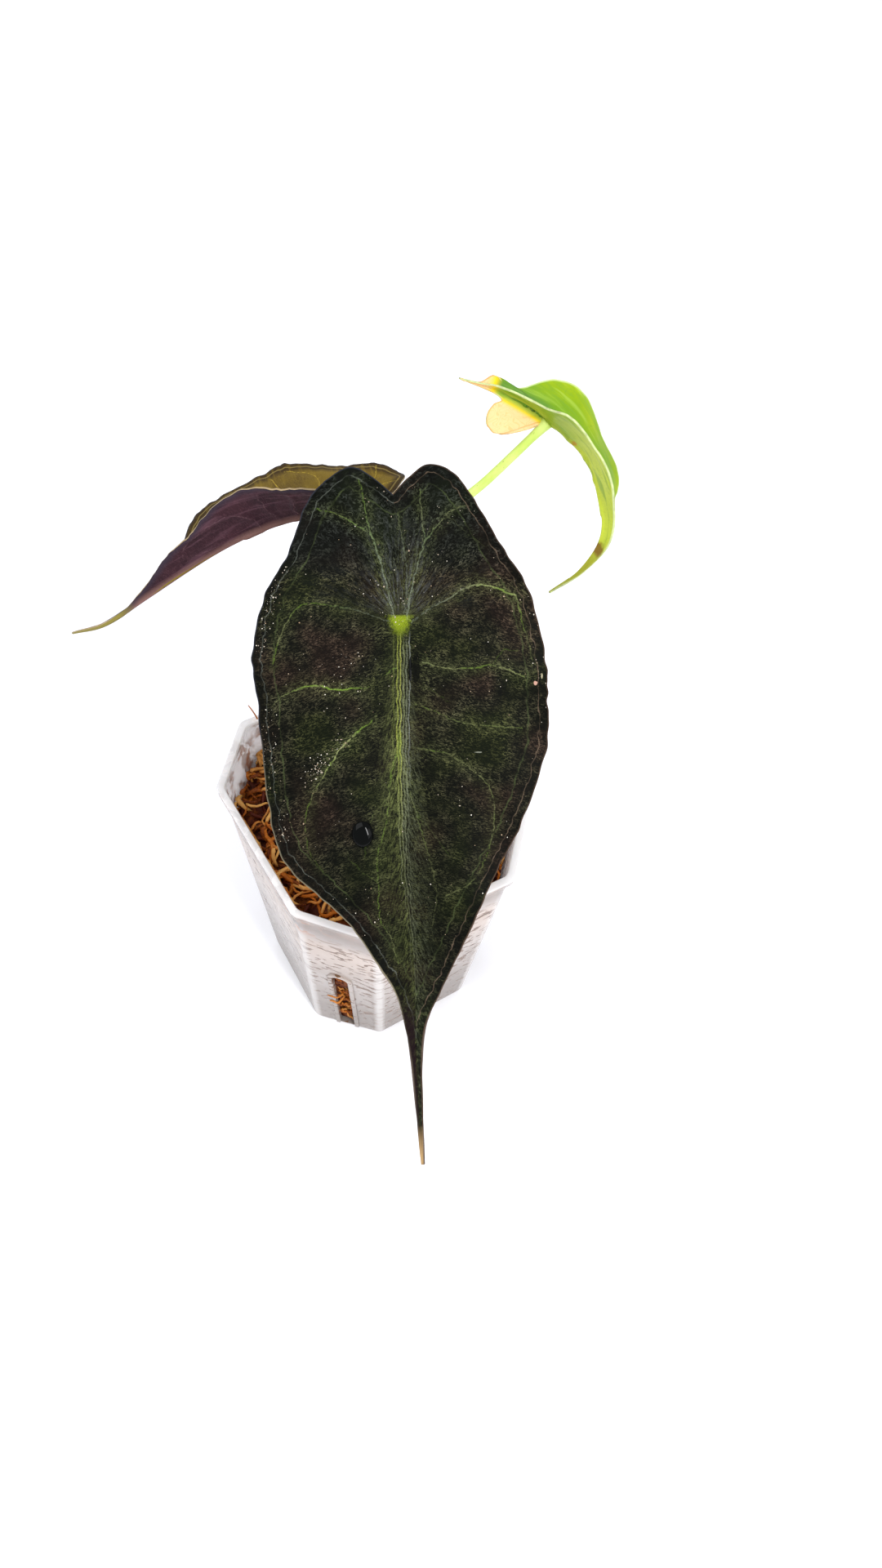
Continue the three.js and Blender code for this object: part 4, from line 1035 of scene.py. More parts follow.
def stem_bark():
    # The short stem: corky, ringed by old leaf scars, with papery brown remains of sheaths.
    material, tree = start_material("corky_stem")
    where = add(tree, "TexCoord", {}, out="Object")
    flat = add(tree, "Mapping", {"Vector": where, "Scale": (1, 1, 3.5)})
    tone = add(tree, "TexNoise", {"Vector": flat, "Scale": 320, "Detail": 5, "Roughness": 0.65})
    tone = add(tree, "MapRange", [tone, 0.3, 0.7])
    green = add(tree, "TexNoise", {"Vector": where, "Scale": 150, "Detail": 1})
    green = add(tree, "MapRange", [green, 0.5, 0.7, 0, 0.6])
    bump = add(tree, "Bump", {"Height": tone, "Strength": 0.8, "Distance": 0.3 * MM})
    looks = {"Roughness": 0.75, "Specular IOR Level": 0.2, "Normal": bump}
    return finish_material(material, linear("#3C2A18"), [(tone, "#8C6C3E"), (green, "#6C7A30")], looks)


def moss_fibre(colours):
    # Long-fibre sphagnum, rehydrated: dull, soft strands from straw through orange to rust, with
    # scaly leaflets half a millimetre long. Each strand keeps its own tint.
    material, tree = start_material("sphagnum_fibre")
    where = add(tree, "TexCoord", {}, out="Object")
    tint = add(tree, "Attribute", {}, out="Fac", attribute_name="tint")
    scale = add(tree, "TexNoise", {"Vector": where, "Scale": 1100, "Detail": 3, "Roughness": 0.6})
    shift = add(tree, "Math", [scale, 0.5, -0.25], operation="MULTIPLY_ADD")
    tint = add(tree, "Math", [tint, shift], operation="ADD", use_clamp=True)
    first = add(tree, "MapRange", [tint, 0.1, 0.5])
    second = add(tree, "MapRange", [tint, 0.5, 0.9])
    looks = {
        "Roughness": 0.6, "Specular IOR Level": 0.2,
        "Normal": add(tree, "Bump", {"Height": scale, "Strength": 0.9, "Distance": 0.2 * MM}),
        "Subsurface Weight": 0.1, "Subsurface Radius": (1, 0.5, 0.2), "Subsurface Scale": 0.5 * MM,
    }
    layers = [(first, colours.moss_orange), (second, colours.moss_tan)]
    return finish_material(material, colours.moss_rust, layers, looks)


def pot_plastic(colours):
    # Clear polypropylene, vacuum formed: milky where it is wet and scuffed, glossy, and clearer above
    # the moss. Strands of moss that lie against the wall show through as short wavy brown marks.
    material, tree = start_material("clear_polypropylene_milky")
    where = add(tree, "TexCoord", {}, out="Object")
    left, height = (add(tree, "SeparateXYZ", [where], out=axis) for axis in (0, 2))
    cloud = add(tree, "TexNoise", {"Vector": where, "Scale": 90, "Detail": 3})
    cloud = add(tree, "MapRange", [cloud, 0.35, 0.68])
    # the marks: strokes 2 to 5 mm long and half a millimetre high below the moss's top, fewer low
    # down and at the left
    bent = add(tree, "TexNoise", {"Vector": where, "Scale": 130, "Detail": 1}, out="Color")
    bent = add(tree, "VectorMath", {0: bent, "Scale": 5 * MM}, operation="SCALE")
    bent = add(tree, "VectorMath", [where, bent], operation="ADD")
    strokes = {"Vector": bent, "Rotation": (0.12, 0.16, 0), "Scale": (0.38, 0.38, 0.95)}
    strokes = {"Vector": add(tree, "Mapping", strokes), "Scale": 900, "Detail": 2, "Roughness": 0.45}
    strokes = add(tree, "TexNoise", strokes)
    upper = add(tree, "MapRange", [height, 28 * MM, 58 * MM])
    limit = add(tree, "MapRange", [upper, 0, 1, 0.585, 0.525])
    fewer = add(tree, "MapRange", [left, -15 * MM, -21 * MM, 0, 0.045])
    for level in (limit, fewer):
        strokes = add(tree, "Math", [strokes, level], operation="SUBTRACT")
    strokes = add(tree, "MapRange", [strokes, 0, 0.035, 0, 0.95])
    below = add(tree, "MapRange", [height, 60 * MM, 67 * MM, 1, 0])
    strokes = add(tree, "Math", [strokes, below], operation="MULTIPLY")
    warm = add(tree, "MapRange", [height, 38 * MM, 62 * MM, 0, 0.35])
    warm = add(tree, "Math", [warm, below], operation="MULTIPLY")
    low = add(tree, "MapRange", [height, 52 * MM, 12 * MM, 0, 0.85])
    # lighter upright edges, a painted highlight on the lip, a darker foot, and orange smudges above the
    # moss at the left
    corner = add(tree, "Attribute", {}, out="Fac", attribute_name="corner")
    corner = add(tree, "MapRange", [corner, 0.5, 1.7, 0.55, 0])
    lip = add(tree, "MapRange", [height, 77 * MM, 77.6 * MM, 0, 0.7])
    foot = add(tree, "MapRange", [height, 0.2 * MM, 1.4 * MM, 0.5, 0])
    smudge = add(tree, "TexNoise", {"Vector": bent, "Scale": 260, "Detail": 3})
    smudge = add(tree, "MapRange", [smudge, 0.51, 0.6])
    above = add(tree, "MapRange", [height, 64 * MM, 67 * MM, 0, 0.8])
    toward_left = add(tree, "MapRange", [left, -4 * MM, -14 * MM])
    for mask in (above, toward_left):
        smudge = add(tree, "Math", [smudge, mask], operation="MULTIPLY")
    # below the lip's painted bright top its side is greyer, a painted shade, between two light lines
    side = add(tree, "MapRange", [height, 75.6 * MM, 75.9 * MM, 0, 0.6])
    layers = [
        (cloud, "#C2B6AE"), (warm, "#CFA888"), (low, "#7E736A"), (strokes, colours.pot_mark),
        (corner, "#F2EEEA"), (foot, "#A39184"), (smudge, "#9C5A26"), (side, "#B4ACA6"),
        (lip, "#FAF9F8"),
    ]
    clear = add(tree, "MapRange", [height, 62 * MM, 70 * MM, 0.84, 0.42])
    for mask in (smudge, lip):
        clear = add(tree, "Math", [mask, 0.5, clear], operation="MULTIPLY_ADD", use_clamp=True)
    looks = {
        "Roughness": 0.22, "IOR": 1.49, "Specular IOR Level": 0.5, "Alpha": clear,
        "Normal": add(tree, "Bump", {"Height": cloud, "Strength": 0.2, "Distance": 0.3 * MM}),
        "Subsurface Weight": 0.2, "Subsurface Radius": (1, 0.9, 0.85), "Subsurface Scale": 1.5 * MM,
    }
    return finish_material(material, colours.pot, layers, looks)


def water():
    # A drop of clean water on near-black skin: very smooth, and as dark as the skin that shows
    # through it, so only its highlights stand out.
    material = start_material("water_drop")[0]
    looks = {"Roughness": 0.03, "IOR": 1.333, "Specular IOR Level": 0.2}
    return finish_material(material, linear("#020302"), [], looks)


def dust():
    # Dust, dried spray and crumbs of moss on the leaf: matt grains from white to tan.
    material, tree = start_material("dust_grains")
    tint = add(tree, "Attribute", {}, out="Fac", attribute_name="tint")
    looks = {"Roughness": 0.6, "Specular IOR Level": 0.4}
    return finish_material(material, linear("#D2CDBE"), [(tint, "#94795A")], looks)


def floor_paint(colours):
    # The studio's floor: matt off-white paper, with a very slight mottle.
    material, tree = start_material("matt_paper_floor")
    where = add(tree, "TexCoord", {}, out="Object")
    tone = add(tree, "TexNoise", {"Vector": where, "Scale": 6, "Detail": 2})
    tone = add(tree, "MapRange", [tone, 0.3, 0.7, 0, 0.3])
    looks = {
        "Roughness": 0.9, "Specular IOR Level": 0.2, "Emission Color": linear("#FFFFFF"),
        "Emission Strength": 0.06,
    }
    return finish_material(material, colours.floor, [(tone, "#EFF0F3")], looks)


def leaf_piece(name, leaf, sizes, materials):
    """A leaf: a flat grid is bent to shape, quilted between its veins and given thickness."""
    spacing = sizes.leaf_grid / MM
    levels = even_levels(leaf, spacing)
    steps = len(levels) - 1
    ends = [(row[0], end) for row in leaf["rows"] for end in (row[1:3], row[3:5])]
    widest = max(math.hypot(along - start, out) for start, (along, out) in ends)
    columns = 2 * math.ceil(1.1 * widest / spacing)
    grid = bpy.ops.mesh.primitive_grid_add
    piece = primitive(name, grid, x_subdivisions=columns, y_subdivisions=steps, size=2)

    places = read_points(piece)
    level = np.interp((places[:, 1] + 1) / 2 * steps, np.arange(steps + 1), levels)
    across = places[:, 0]
    flat = np.stack(flat_place(leaf, level, across), -1)
    aim, away, vein, halo = vein_masks(leaf, flat)
    for label, values in (
        ("flat", flat_points(flat)), ("aim", flat_points(aim)), ("away", away), ("vein", vein),
        ("halo", halo), ("rim", margin_distance(leaf, level, flat)),
    ):
        keep(piece, label, values)
    if leaf["hangs"]:
        keep(piece, "bleach", bleached(leaf, level, flat))
    write_points(piece, leaf_place(leaf, level, across) * MM)
    in_edit_mode(
        piece, lambda: bpy.ops.mesh.remove_doubles(threshold=0.01 * MM), bpy.ops.mesh.flip_normals,
        lambda: bpy.ops.mesh.dissolve_degenerate(threshold=0.001 * MM),
    )
    quilt = sizes.quilting * (1 - kept(piece, "halo")) * smoothstep(0, QUILT_FADE, kept(piece, "rim"))
    quilt = quilt - VEIN_DEPTH * MM * vein_rib(piece)
    write_points(piece, read_points(piece) + normals(piece) * quilt[:, None])
    dress(piece, *materials)
    modified(
        piece, "SOLIDIFY", thickness=sizes.blade, offset=0, material_offset=1, material_offset_rim=2,
    )
    raise_ribs(piece, leaf)
    return piece


def vein_rib(piece):
    """How far each point of a leaf stands on a main vein, from 0 to 1."""
    return kept(piece, "vein") * (1 - smoothstep(0.2, 0.8, kept(piece, "away")))


def raise_ribs(piece, leaf):
    """The veins and the midrib stand out of a leaf's underside, most at its joint."""
    under = np.zeros(len(piece.data.vertices), bool)
    for face in piece.data.polygons:
        if face.material_index == 1:
            under[list(face.vertices)] = True
    flat = np.empty(len(under) * 3)
    piece.data.attributes["flat"].data.foreach_get("vector", flat)
    out, along = flat.reshape(-1, 3)[:, :2].T
    length = leaf["stations"][-1][0]
    keel = np.exp(-((out / KEEL_WIDTH) ** 2)) * smoothstep(-1.5, 0, along)
    keel = keel * np.clip(1 - along / length, 0, 1)
    rib = np.where(under, np.maximum(KEEL_HEIGHT * keel, RIB_HEIGHT * vein_rib(piece)), 0)
    write_points(piece, read_points(piece) + normals(piece) * rib[:, None] * MM)


def tube_along(name, route, radius):
    """A round tube on a smooth route, whose radius is a function of the share of the way."""
    centre, share = evenly(route, STALK_STEP)
    ahead = unit(np.gradient(centre, axis=0))
    side = unit(np.cross(ahead, (1, 0, 0)))
    other = np.cross(ahead, side)
    angles = np.arange(STALK_SIDES)[:, None] * math.tau / STALK_SIDES
    thick = np.array([radius(part) for part in share])[:, None, None]
    ring = side[:, None] * np.cos(angles) + other[:, None] * np.sin(angles)
    return wrapped(name, centre[:, None] + thick * ring)


def stalk_piece(name, leaf, route, foot, top, material):
    """A leaf stalk: fattest at its foot, then slim, flaring where it meets the leaf."""
    place, _, up, _, _ = midrib(leaf, np.array(0.0))
    route = [*route, tuple(place - up * 0.25)]

    def radius(share):
        swell = max(0, 1 - 3 * share) ** 2
        flare = 0.35 * max(0, (share - 0.95) / 0.05) ** 2
        return top + (foot - top) * (0.35 * (1 - share) + 0.65 * swell) + flare

    piece = tube_along(name, route, radius)
    dress(piece, material)
    return piece


def stem_piece():
    """The short stem, ringed by the scars of old leaves."""
    height = np.linspace(0, 1, STEM_RINGS)
    ups, outs = zip(*STEM_SHAPE)
    radius = STEM_RADIUS * smooth(ups, [[out] for out in outs], height)[:, 0]
    radius = radius * (1 + 0.03 * np.sin(height * 70))
    angles = np.arange(STEM_SIDES) * math.tau / STEM_SIDES
    lumps = 1 + 0.04 * np.sin(3 * angles + 1) + 0.02 * np.sin(7 * angles)
    rings = [
        [(r * lump * math.cos(a), r * lump * math.sin(a), STEM_BOTTOM + h * (STEM_TOP - STEM_BOTTOM))
         for a, lump in zip(angles, lumps)]
        for r, h in zip(radius, height)
    ]
    return wrapped("stem", rings)


def pot_corners(height, margin):
    """The pot's eight corners at a height, moved outward by a margin."""
    eighth = math.tau / 8

    def corners(flat, corner):
        for k in range(8):
            heading, following = POT_TURN + k * eighth, POT_TURN + (k + 1) * eighth
            near, far = (corner, flat) if k % 2 else (flat, corner)
            yield (
                (near * math.sin(following) - far * math.sin(heading)) / math.sin(eighth),
                (far * math.cos(heading) - near * math.cos(following)) / math.sin(eighth),
            )

    base = np.array(list(corners(BASE_FLAT + margin, BASE_CORNER + margin)))
    rim = np.array(list(corners(RIM_FLAT + margin, RIM_CORNER + margin)))
    rim = rim - POT_SQUASH * (rim @ PRESS)[:, None] * PRESS
    placed = base + (rim - base) * height / POT_HEIGHT
    return np.column_stack([placed, np.full(8, float(height))])


def pot_outline(height, margin):
    """A ring of places round the pot at a height, with its corners eased."""
    corners = pot_corners(height, margin)
    ring = []
    for k, here in enumerate(corners):
        following = corners[(k + 1) % 8]
        before = here + unit(corners[k - 1] - here) * POT_EDGE_EASE
        after = here + unit(following - here) * POT_EDGE_EASE
        for t in np.linspace(0, 1, 5):
            ring.append((1 - t) ** 2 * before + 2 * t * (1 - t) * here + t * t * after)
        end = following + unit(here - following) * POT_EDGE_EASE
        shares = np.arange(1, POT_SIDE_POINTS + 1) / (POT_SIDE_POINTS + 1)
        ring += [after + (end - after) * share for share in shares]
    return np.array(ring)


def along_side(side):
    """The level direction that one of the pot's four narrow sides runs in."""
    heading = POT_TURN + (2 * side + 1) * math.pi / 4
    return np.array([-math.sin(heading), math.cos(heading), 0])


def on_wall(side, across, height, margin):
    """A place on one of the pot's four narrow sides, a distance across it from the slot's middle."""
    way = along_side(side)
    first, second = pot_corners(height, margin)[2 * side : 2 * side + 2]
    return first + (second - first) * (across - first @ way) / ((second - first) @ way)


def arch(half_width, bottom, top, steps=14):
    """The outline of a slot with a round top, as (across, height)."""
    spring = top - half_width
    angles = [math.pi * step / steps for step in range(steps + 1)]
    curve = [(half_width * math.cos(angle), spring + half_width * math.sin(angle)) for angle in angles]
    return [(half_width, bottom), *curve, (-half_width, bottom)]


def pot_piece(sizes):
    """The pot: a tapered eight-sided wall, a floor, a lip, and a framed slot in each narrow side."""
    wall = sizes.pot_wall / MM
    top, shelf = POT_HEIGHT, POT_HEIGHT - LIP_HEIGHT
    profile = [(0, -1), (0.2, -0.45), (0.7, -0.05)]
    profile += [(height, 0) for height in np.linspace(1.2, shelf, WALL_RINGS)]
    profile += [
        (shelf + 0.15, 0.75), (shelf + 0.45, LIP_OUT), (top - 0.6, LIP_OUT),
        (top - 0.15, LIP_OUT - 0.2), (top, LIP_OUT - 0.6), (top, 0.6 - wall),
        (top - 0.15, 0.2 - wall), (top - 0.5, -wall),
    ]
    profile += [(height, -wall) for height in np.linspace(shelf, 2, WALL_RINGS)]
    profile += [(1.5, -wall - 0.5)]
    pot = wrapped("pot", [pot_outline(height, margin) for height, margin in profile])
    outline = arch(SLOT_WIDTH / 2, SLOT_BOTTOM, SLOT_TOP)
    blocks = [
        wrapped("slot_block", [
            [on_wall(side, *place, margin) for place in outline] for margin in SLOT_CUT
        ])
        for side in range(4)
    ]
    cut(pot, "DIFFERENCE", joined("slot_blocks", blocks))
    frames = [slot_frame(side) for side in range(4)]
    cut(pot, "UNION", joined("slot_frames", frames))
    keep(pot, "corner", corner_distance(read_points(pot) / MM))
    return pot


def corner_distance(places):
    """How far each place on the pot is from the nearest of its eight upright edges."""
    foot, rim = pot_corners(0, 0), pot_corners(POT_HEIGHT, 0)
    edges = foot + (rim - foot) * places[:, None, 2:] / POT_HEIGHT
    return np.linalg.norm(edges - places[:, None], axis=2).min(1)


def slot_frame(side):
    """The raised frame round a slot, as a rounded bar that follows its edge."""
    path = np.array(arch((SLOT_WIDTH + SLOT_FRAME) / 2, SLOT_BOTTOM, SLOT_TOP + SLOT_FRAME / 2, 20))
    ahead = unit(np.gradient(path, axis=0))
    aside = np.column_stack([-ahead[:, 1], ahead[:, 0]])
    half, out = SLOT_FRAME / 2, SLOT_FRAME_OUT
    section = [(-half, -0.5), (-half, out - 0.25), (0.2 - half, out)]
    section += [(-off, margin) for off, margin in reversed(section)]
    rings = [
        [on_wall(side, *(place + way * off), margin) for off, margin in section]
        for place, way in zip(path, aside)
    ]
    return wrapped("slot_frame", rings)


def cut(piece, operation, other):
    """Adds or takes away another solid, and deletes it."""
    modified(piece, "BOOLEAN", operation=operation, object=other, solver="EXACT")
    bpy.data.objects.remove(other, do_unlink=True)


def moss_height(x, y):
    """The height of the moss bed: higher at the front left, and lumpy."""
    tilt = (MOSS_RISE_X * x + MOSS_RISE_Y * y) / RIM_FLAT
    lumps = np.sin(0.6 * x + 1) * np.cos(0.6 * y) + np.sin((3 * x - 4 * y) * 0.3) / 2
    return MOSS_TOP + MOSS_RISE * tilt + 0.75 * lumps


def inside_pot(places, margin):
    """Moves places that lie outside the pot's wall back inside it, by a margin."""
    share = places[:, 2] / POT_HEIGHT
    flat = places[:, :2]
    squash = POT_SQUASH * share
    flat = flat + (flat @ PRESS * squash / (1 - squash))[:, None] * PRESS
    for k in range(8):
        heading = POT_TURN + k * math.tau / 8
        way = np.array([math.cos(heading), math.sin(heading)])
        base, rim = (BASE_CORNER, RIM_CORNER) if k % 2 else (BASE_FLAT, RIM_FLAT)
        limit = base + (rim - base) * share - margin
        flat = flat - np.maximum(0, flat @ way - limit)[:, None] * way
    flat = flat - (flat @ PRESS * squash)[:, None] * PRESS
    return np.column_stack([flat, places[:, 2]])


def moss_bed(material):
    """The bed of moss that fills the pot, with a lumpy top."""
    heights = np.linspace(1.8, MOSS_TOP - 5, MOSS_SIDE_RINGS)
    rings = [pot_outline(height, -MOSS_GAP) for height in heights]
    rim = pot_outline(MOSS_TOP, -MOSS_GAP)
    for inward in np.linspace(1, 0.02, MOSS_TOP_RINGS):
        ring = rim * (inward, inward, 0)
        ring[:, 2] = moss_height(ring[:, 0], ring[:, 1]) - 0.6
        rings.append(ring)
    bed = wrapped("moss_bed", rings)
    places = read_points(bed)
    lumps = np.array([noise.fractal(Vector(place) * LUMPS_A_METRE, 1, 2, 3) for place in places])
    places = places + normals(bed) * (lumps * LUMP_HEIGHT - LUMP_SINK)[:, None] * MM
    write_points(bed, inside_pot(places / MM, MOSS_POINT_GAP) * MM)
    tint = [0.16 + 0.35 * noise.noise(Vector(place) * 230) for place in places]
    keep(bed, "tint", np.array(tint))
    dress(bed, material)
    return bed


def strand_routes(starts, headings, lengths, lifts, draws):
    """Curling routes that leave the moss, arch over and dip back to it."""
    share = np.linspace(0, 1, STRAND_POINTS)
    turn = draws.uniform(-2.4, 2.4, (len(starts), 1))
    wiggle = draws.uniform(0, math.tau, (len(starts), 1))
    way = headings[:, None] + turn * share + 0.5 * np.sin(share * 7 + wiggle)
    steps = lengths[:, None] / STRAND_POINTS
    x = starts[:, :1] + np.cumsum(np.cos(way) * steps, 1)
    y = starts[:, 1:2] + np.cumsum(np.sin(way) * steps, 1)
    z = moss_height(x, y) - 0.5 + lifts[:, None] * np.sin(math.pi * (0.06 + 0.86 * share))
    z = z + 0.35 * np.sin(share * 9 + wiggle * 3)
    routes = np.stack([x, y, z], -1)
    return inside_pot(routes.reshape(-1, 3), STRAND_GAP).reshape(routes.shape)


def strand_radii(thick, draws):
    """The radii along each strand: thinner toward its ends, and uneven."""
    share = np.linspace(0, 1, STRAND_POINTS)
    body = 0.4 + 0.6 * np.sin(math.pi * (0.12 + 0.82 * share))
    return thick[:, None] * body * draws.uniform(0.8, 1.2, (len(thick), STRAND_POINTS))


def moss_strands(count, material):
    """Loose strands over the bed, and some that push out through the front slot or over the rim."""
    draws = np.random.RandomState(11)
    reach = 5.5 + 24.5 * np.sqrt(draws.uniform(0, 1, count))
    around = draws.uniform(0, math.tau, count)
    starts = np.column_stack([reach * np.cos(around), reach * np.sin(around)])
    headings = draws.uniform(0, math.tau, count)
    lengths = draws.uniform(5, 12, count)
    lifts = draws.uniform(0.3, 3.2, count)
    routes = strand_routes(starts, headings, lengths, lifts, draws)
    thick = draws.uniform(0.3, 0.62, count)
    # strands that arch higher get a paler tint: drier on top, and partly a painted shade that darkens
    # the deeper, lower strands
    tint = np.clip(-0.02 + 0.28 * lifts + draws.normal(0, 0.3, count), 0, 1)
    slot = np.array([
        on_wall(FRONT_SLOT, draws.uniform(-1.5, 1.5), draws.uniform(5, 39), draws.uniform(-1.8, -0.7))
        for _ in range(SLOT_STRANDS)
    ])
    share = np.linspace(-0.5, 0.5, STRAND_POINTS)
    tilt = draws.uniform(-1, 1, SLOT_STRANDS)
    way = along_side(FRONT_SLOT)
    size = draws.uniform(1.4, 3.2, SLOT_STRANDS)
    slot_routes = slot[:, None] + size[:, None, None] * (
        share[:, None] * way * np.cos(tilt)[:, None, None]
        + (share[:, None] * np.sin(tilt)[:, None, None] + 0.25 * np.sin(share * 9)[:, None]) * (0, 0, 1)
    )
    strays = np.array([smooth(range(4), stray, np.linspace(0, 3, STRAND_POINTS)) for stray in STRAYS])
    routes = np.concatenate([routes, slot_routes, strays])
    loose = SLOT_STRANDS + len(strays)
    thick = np.concatenate([thick, draws.uniform(0.25, 0.5, loose)])
    tint = np.concatenate([tint, draws.uniform(0.1, 0.8, loose)])
    piece = tubes("moss_strands", routes, strand_radii(thick, draws), STRAND_SIDES)
    keep(piece, "tint", np.repeat(tint, STRAND_POINTS * STRAND_SIDES))
    dress(piece, material)
    return piece


def grains(name, places, sizes, tints, draws, material):
    """Small irregular grains: one faceted ball, copied and stretched to each place as one mesh."""
    ball = primitive("grain", bpy.ops.mesh.primitive_ico_sphere_add, subdivisions=1, radius=1)
    points = read_points(ball)
    faces = np.array([face.vertices[:] for face in ball.data.polygons])
    bpy.data.objects.remove(ball, do_unlink=True)
    stretch = draws.uniform(0.5, 1.3, (len(places), 1, 3)) * sizes[:, None, None]
    corners = places[:, None] + points * stretch
    numbers = np.arange(len(places))[:, None, None] * len(points) + faces
    made = mesh_piece(name, corners, numbers.reshape(-1, 3).tolist())
    keep(made, "tint", np.repeat(tints, len(points)))
    dress(made, material)
    return made


def face_way(leaf, out, along, step=0.2):
    """Which way a leaf's upper face looks at points of the flat leaf."""
    here = bend(leaf, out, along)
    return unit(np.cross(bend(leaf, out, along + step) - here, bend(leaf, out + step, along) - here))


def dust_piece(sizes):
    """Grains of dust on the front leaf: a thin scatter, and clusters. Each cluster: its row level and
    share of the way across, how widely it spreads in both, and how many grains it has."""
    leaf = LEAVES["leaf_front"]
    draws = np.random.RandomState(5)
    spots = [np.column_stack([draws.uniform(0.3, 13, 200), draws.uniform(-0.96, 0.96, 200)])]
    for level, across, wide, long, count in (
        (6.4, -0.9, 0.3, 0.04, 60), (8.5, -0.91, 0.3, 0.04, 55), (9.45, -0.55, 0.12, 0.05, 75),
        (9.35, -0.38, 0.1, 0.05, 20), (9.7, -0.9, 0.2, 0.04, 25), (5.6, -0.93, 0.3, 0.03, 15),
        (7.2, 0.93, 0.8, 0.03, 20), (8.2, -0.3, 0.6, 0.15, 40),
    ):
        spots.append(draws.normal((level, across), (wide, long), (count, 2)))
    level, across = np.concatenate(spots).T
    across = np.clip(across, -0.985, 0.985)
    flat = np.stack(flat_place(leaf, level, across), -1)
    halo = vein_masks(leaf, flat)[3]
    rise = sizes.quilting * (1 - halo) * smoothstep(0, QUILT_FADE, margin_distance(leaf, level, flat))
    height = (sizes.blade / 2 + rise) / MM
    places = leaf_place(leaf, level, across) + face_way(leaf, *flat.T) * height[:, None]
    size = 0.05 + 0.12 * draws.uniform(0, 1, len(flat)) ** 3
    return grains("dust", places, size, draws.uniform(0, 1, len(flat)), draws, dust())


def drop_piece(name, out, along, width, length, height, material):
    """A drop of water on the front leaf: the upper part of a ball, flattened onto the skin."""
    leaf = LEAVES["leaf_front"]
    ball = bpy.ops.mesh.primitive_uv_sphere_add
    drop = primitive(name, ball, segments=32, ring_count=16, radius=1)
    points = read_points(drop)
    lift = np.where(points[:, 2] < 0, points[:, 2] * 0.1, points[:, 2])
    out, along = out + points[:, 0] * width / 2, along + points[:, 1] * length / 2
    above = face_way(leaf, out, along) * (0.3 + lift * height)[:, None]
    write_points(drop, (bend(leaf, out, along) + above) * MM)
    dress(drop, material)
    return drop


class ALOCASIA_OT_stage(bpy.types.Operator):
    """Makes the floor, the soft light and the camera"""

    bl_idname = "alocasia.stage"
    bl_label = "Studio"

    def execute(self, context):
        colours = context.scene.alocasia_colours
        plane = bpy.ops.mesh.primitive_plane_add
        floor = primitive("floor", plane, size=4, location=(0, 0, -0.1 * MM))
        dress(floor, floor_paint(colours))

        world = bpy.data.worlds.new("white_studio")
        world.use_nodes = True
        backdrop = world.node_tree.nodes["Background"]
        backdrop.inputs["Color"].default_value = linear("#F6F8FF")
        backdrop.inputs["Strength"].default_value = WORLD_STRENGTH
        context.scene.world = world
        for name, place, width, height, power in LIGHTS:
            light = bpy.data.lights.new(name, "AREA")
            light.shape = "RECTANGLE"
            light.size, light.size_y, light.energy = width, height, power
            lamp = bpy.data.objects.new(name, light)
            lamp.location = place
            toward = LIGHT_TARGET - Vector(place)
            lamp.rotation_euler = toward.to_track_quat("-Z", "Y").to_euler()
            context.collection.objects.link(lamp)

        data = bpy.data.cameras.new("camera")
        data.sensor_fit, data.sensor_width = "AUTO", CAMERA_SENSOR
        data.lens = CAMERA_FOCAL / CAMERA_LONG_SIDE * CAMERA_SENSOR
        data.clip_start = 0.01
        camera = bpy.data.objects.new("camera", data)
        ahead = Vector((0, math.cos(CAMERA_DOWN), -math.sin(CAMERA_DOWN)))
        level, above = Vector((1, 0, 0)), Vector((0, math.sin(CAMERA_DOWN), math.cos(CAMERA_DOWN)))
        right = level * math.cos(CAMERA_ROLL) + above * math.sin(CAMERA_ROLL)
        up = above * math.cos(CAMERA_ROLL) - level * math.sin(CAMERA_ROLL)
        turn = Matrix((right, up, -ahead)).transposed().to_4x4()
        camera.matrix_world = Matrix.Translation(Vector(CAMERA_PLACE) * MM) @ turn
        context.collection.objects.link(camera)
        context.scene.camera = camera
        context.scene.view_settings.view_transform = "Standard"
        return {"FINISHED"}


class ALOCASIA_OT_pot(bpy.types.Operator):
    """Makes the clear eight-sided pot with its four slots"""

    bl_idname = "alocasia.pot"
    bl_label = "Pot"

    def execute(self, context):
        pot = pot_piece(context.scene.alocasia_sizes)
        dress(pot, pot_plastic(context.scene.alocasia_colours))
        finish_piece(pot, "pot", "pot", smooth_angle=35)
        return {"FINISHED"}


class ALOCASIA_OT_moss(bpy.types.Operator):
    """Makes the bed of moss and its loose strands"""

    bl_idname = "alocasia.moss"
    bl_label = "Moss"

    def execute(self, context):
        material = moss_fibre(context.scene.alocasia_colours)
        finish_piece(moss_bed(material), "moss", "moss")
        finish_piece(moss_strands(context.scene.alocasia_sizes.strands, material), "moss", "moss")
        return {"FINISHED"}


class ALOCASIA_OT_stalks(bpy.types.Operator):
    """Makes the stem and the three leaf stalks"""

    bl_idname = "alocasia.stalks"
    bl_label = "Stem and stalks"

    def execute(self, context):
        colours = context.scene.alocasia_colours
        stem = stem_piece()
        dress(stem, stem_bark())
        finish_piece(stem, "stem", "stem")
        green = stalk_skin("leaf_stalk_green", colours, "#7F9A34", 0.0)
        pale = stalk_skin("leaf_stalk_pale", colours, "#CFE07C", 0.02)
        for name, leaf, route, foot, top, material, slot in (
            ("stalk_front", "leaf_front", STALK_FRONT, 1.7, 0.85, green, "stalk"),
            ("stalk_left", "leaf_left", STALK_LEFT, 1.6, 0.75, green, "stalk"),
            ("stalk_right", "leaf_right", STALK_RIGHT, 1.7, 0.88, pale, "stalk_pale"),
        ):
            finish_piece(stalk_piece(name, LEAVES[leaf], route, foot, top, material), slot, name)
        return {"FINISHED"}


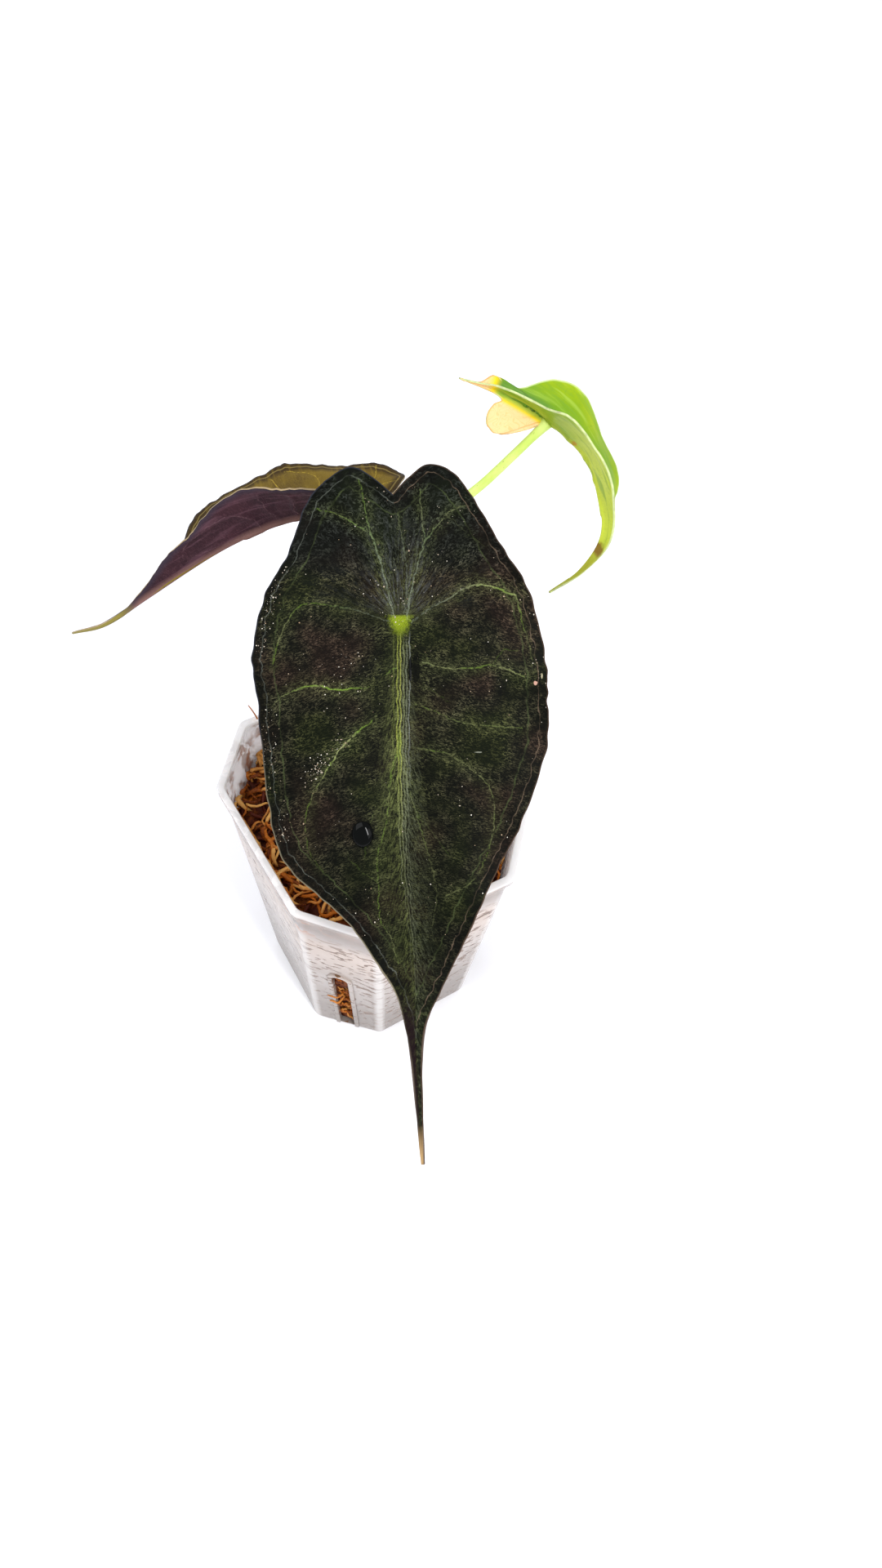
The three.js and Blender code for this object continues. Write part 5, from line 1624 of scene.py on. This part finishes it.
class ALOCASIA_OT_leaves(bpy.types.Operator):
    """Makes the three leaves"""

    bl_idname = "alocasia.leaves"
    bl_label = "Leaves"

    def execute(self, context):
        sizes, colours = context.scene.alocasia_sizes, context.scene.alocasia_colours
        looks = {
            "leaf_front": (
                front_upper(colours), purple_under("leaf_back_purple", colours, 96),
                leaf_edge("leaf_edge_brown", "#57463A"),
            ),
            "leaf_left": (
                olive_upper(colours), purple_under("leaf_back_purple_olive_tip", colours, 40),
                leaf_edge("leaf_edge_pale", "#B09A72"),
            ),
            "leaf_right": (
                lime_skin(colours, False), lime_skin(colours, True),
                leaf_edge("leaf_edge_lime", "#CFDC98"),
            ),
        }
        for name, leaf in LEAVES.items():
            finish_piece(leaf_piece(name, leaf, sizes, looks[name]), leaf["slot"], name)
        return {"FINISHED"}


class ALOCASIA_OT_details(bpy.types.Operator):
    """Makes the dust and the water on the front leaf"""

    bl_idname = "alocasia.details"
    bl_label = "Dust and water"

    def execute(self, context):
        finish_piece(dust_piece(context.scene.alocasia_sizes), "leaf_dark")
        wet = water()
        finish_piece(drop_piece("drop_round", -7, 36.4, 3.8, 4.6, 0.75, wet), "leaf_dark")
        finish_piece(drop_piece("drop_streak", 1.9, 7.8, 0.7, 5.2, 0.3, wet), "leaf_dark")
        return {"FINISHED"}


class ALOCASIA_PT_panel(bpy.types.Panel):
    """Lists the plant's sizes, colours and pieces"""

    bl_idname = "ALOCASIA_PT_panel"
    bl_label = "Potted Alocasia"
    bl_space_type = "VIEW_3D"
    bl_region_type = "UI"
    bl_category = "Alocasia"

    def draw(self, context):
        for group in (context.scene.alocasia_sizes, context.scene.alocasia_colours):
            for name in group.__annotations__:
                self.layout.prop(group, name)
        for operator in OPERATORS:
            self.layout.operator(operator.bl_idname)


OPERATORS = (
    ALOCASIA_OT_stage, ALOCASIA_OT_pot, ALOCASIA_OT_moss, ALOCASIA_OT_stalks, ALOCASIA_OT_leaves,
    ALOCASIA_OT_details,
)
CLASSES = (PlantSizes, PlantColours, *OPERATORS, ALOCASIA_PT_panel)


def register():
    for cls in CLASSES:
        bpy.utils.register_class(cls)
    bpy.types.Scene.alocasia_sizes = bpy.props.PointerProperty(type=PlantSizes)
    bpy.types.Scene.alocasia_colours = bpy.props.PointerProperty(type=PlantColours)


def unregister():
    del bpy.types.Scene.alocasia_colours
    del bpy.types.Scene.alocasia_sizes
    for cls in reversed(CLASSES):
        bpy.utils.unregister_class(cls)


def main():
    register()
    make = bpy.ops.alocasia
    for step in (make.stage, make.pot, make.moss, make.stalks, make.leaves, make.details):
        step()


if __name__ == "__main__":
    main()
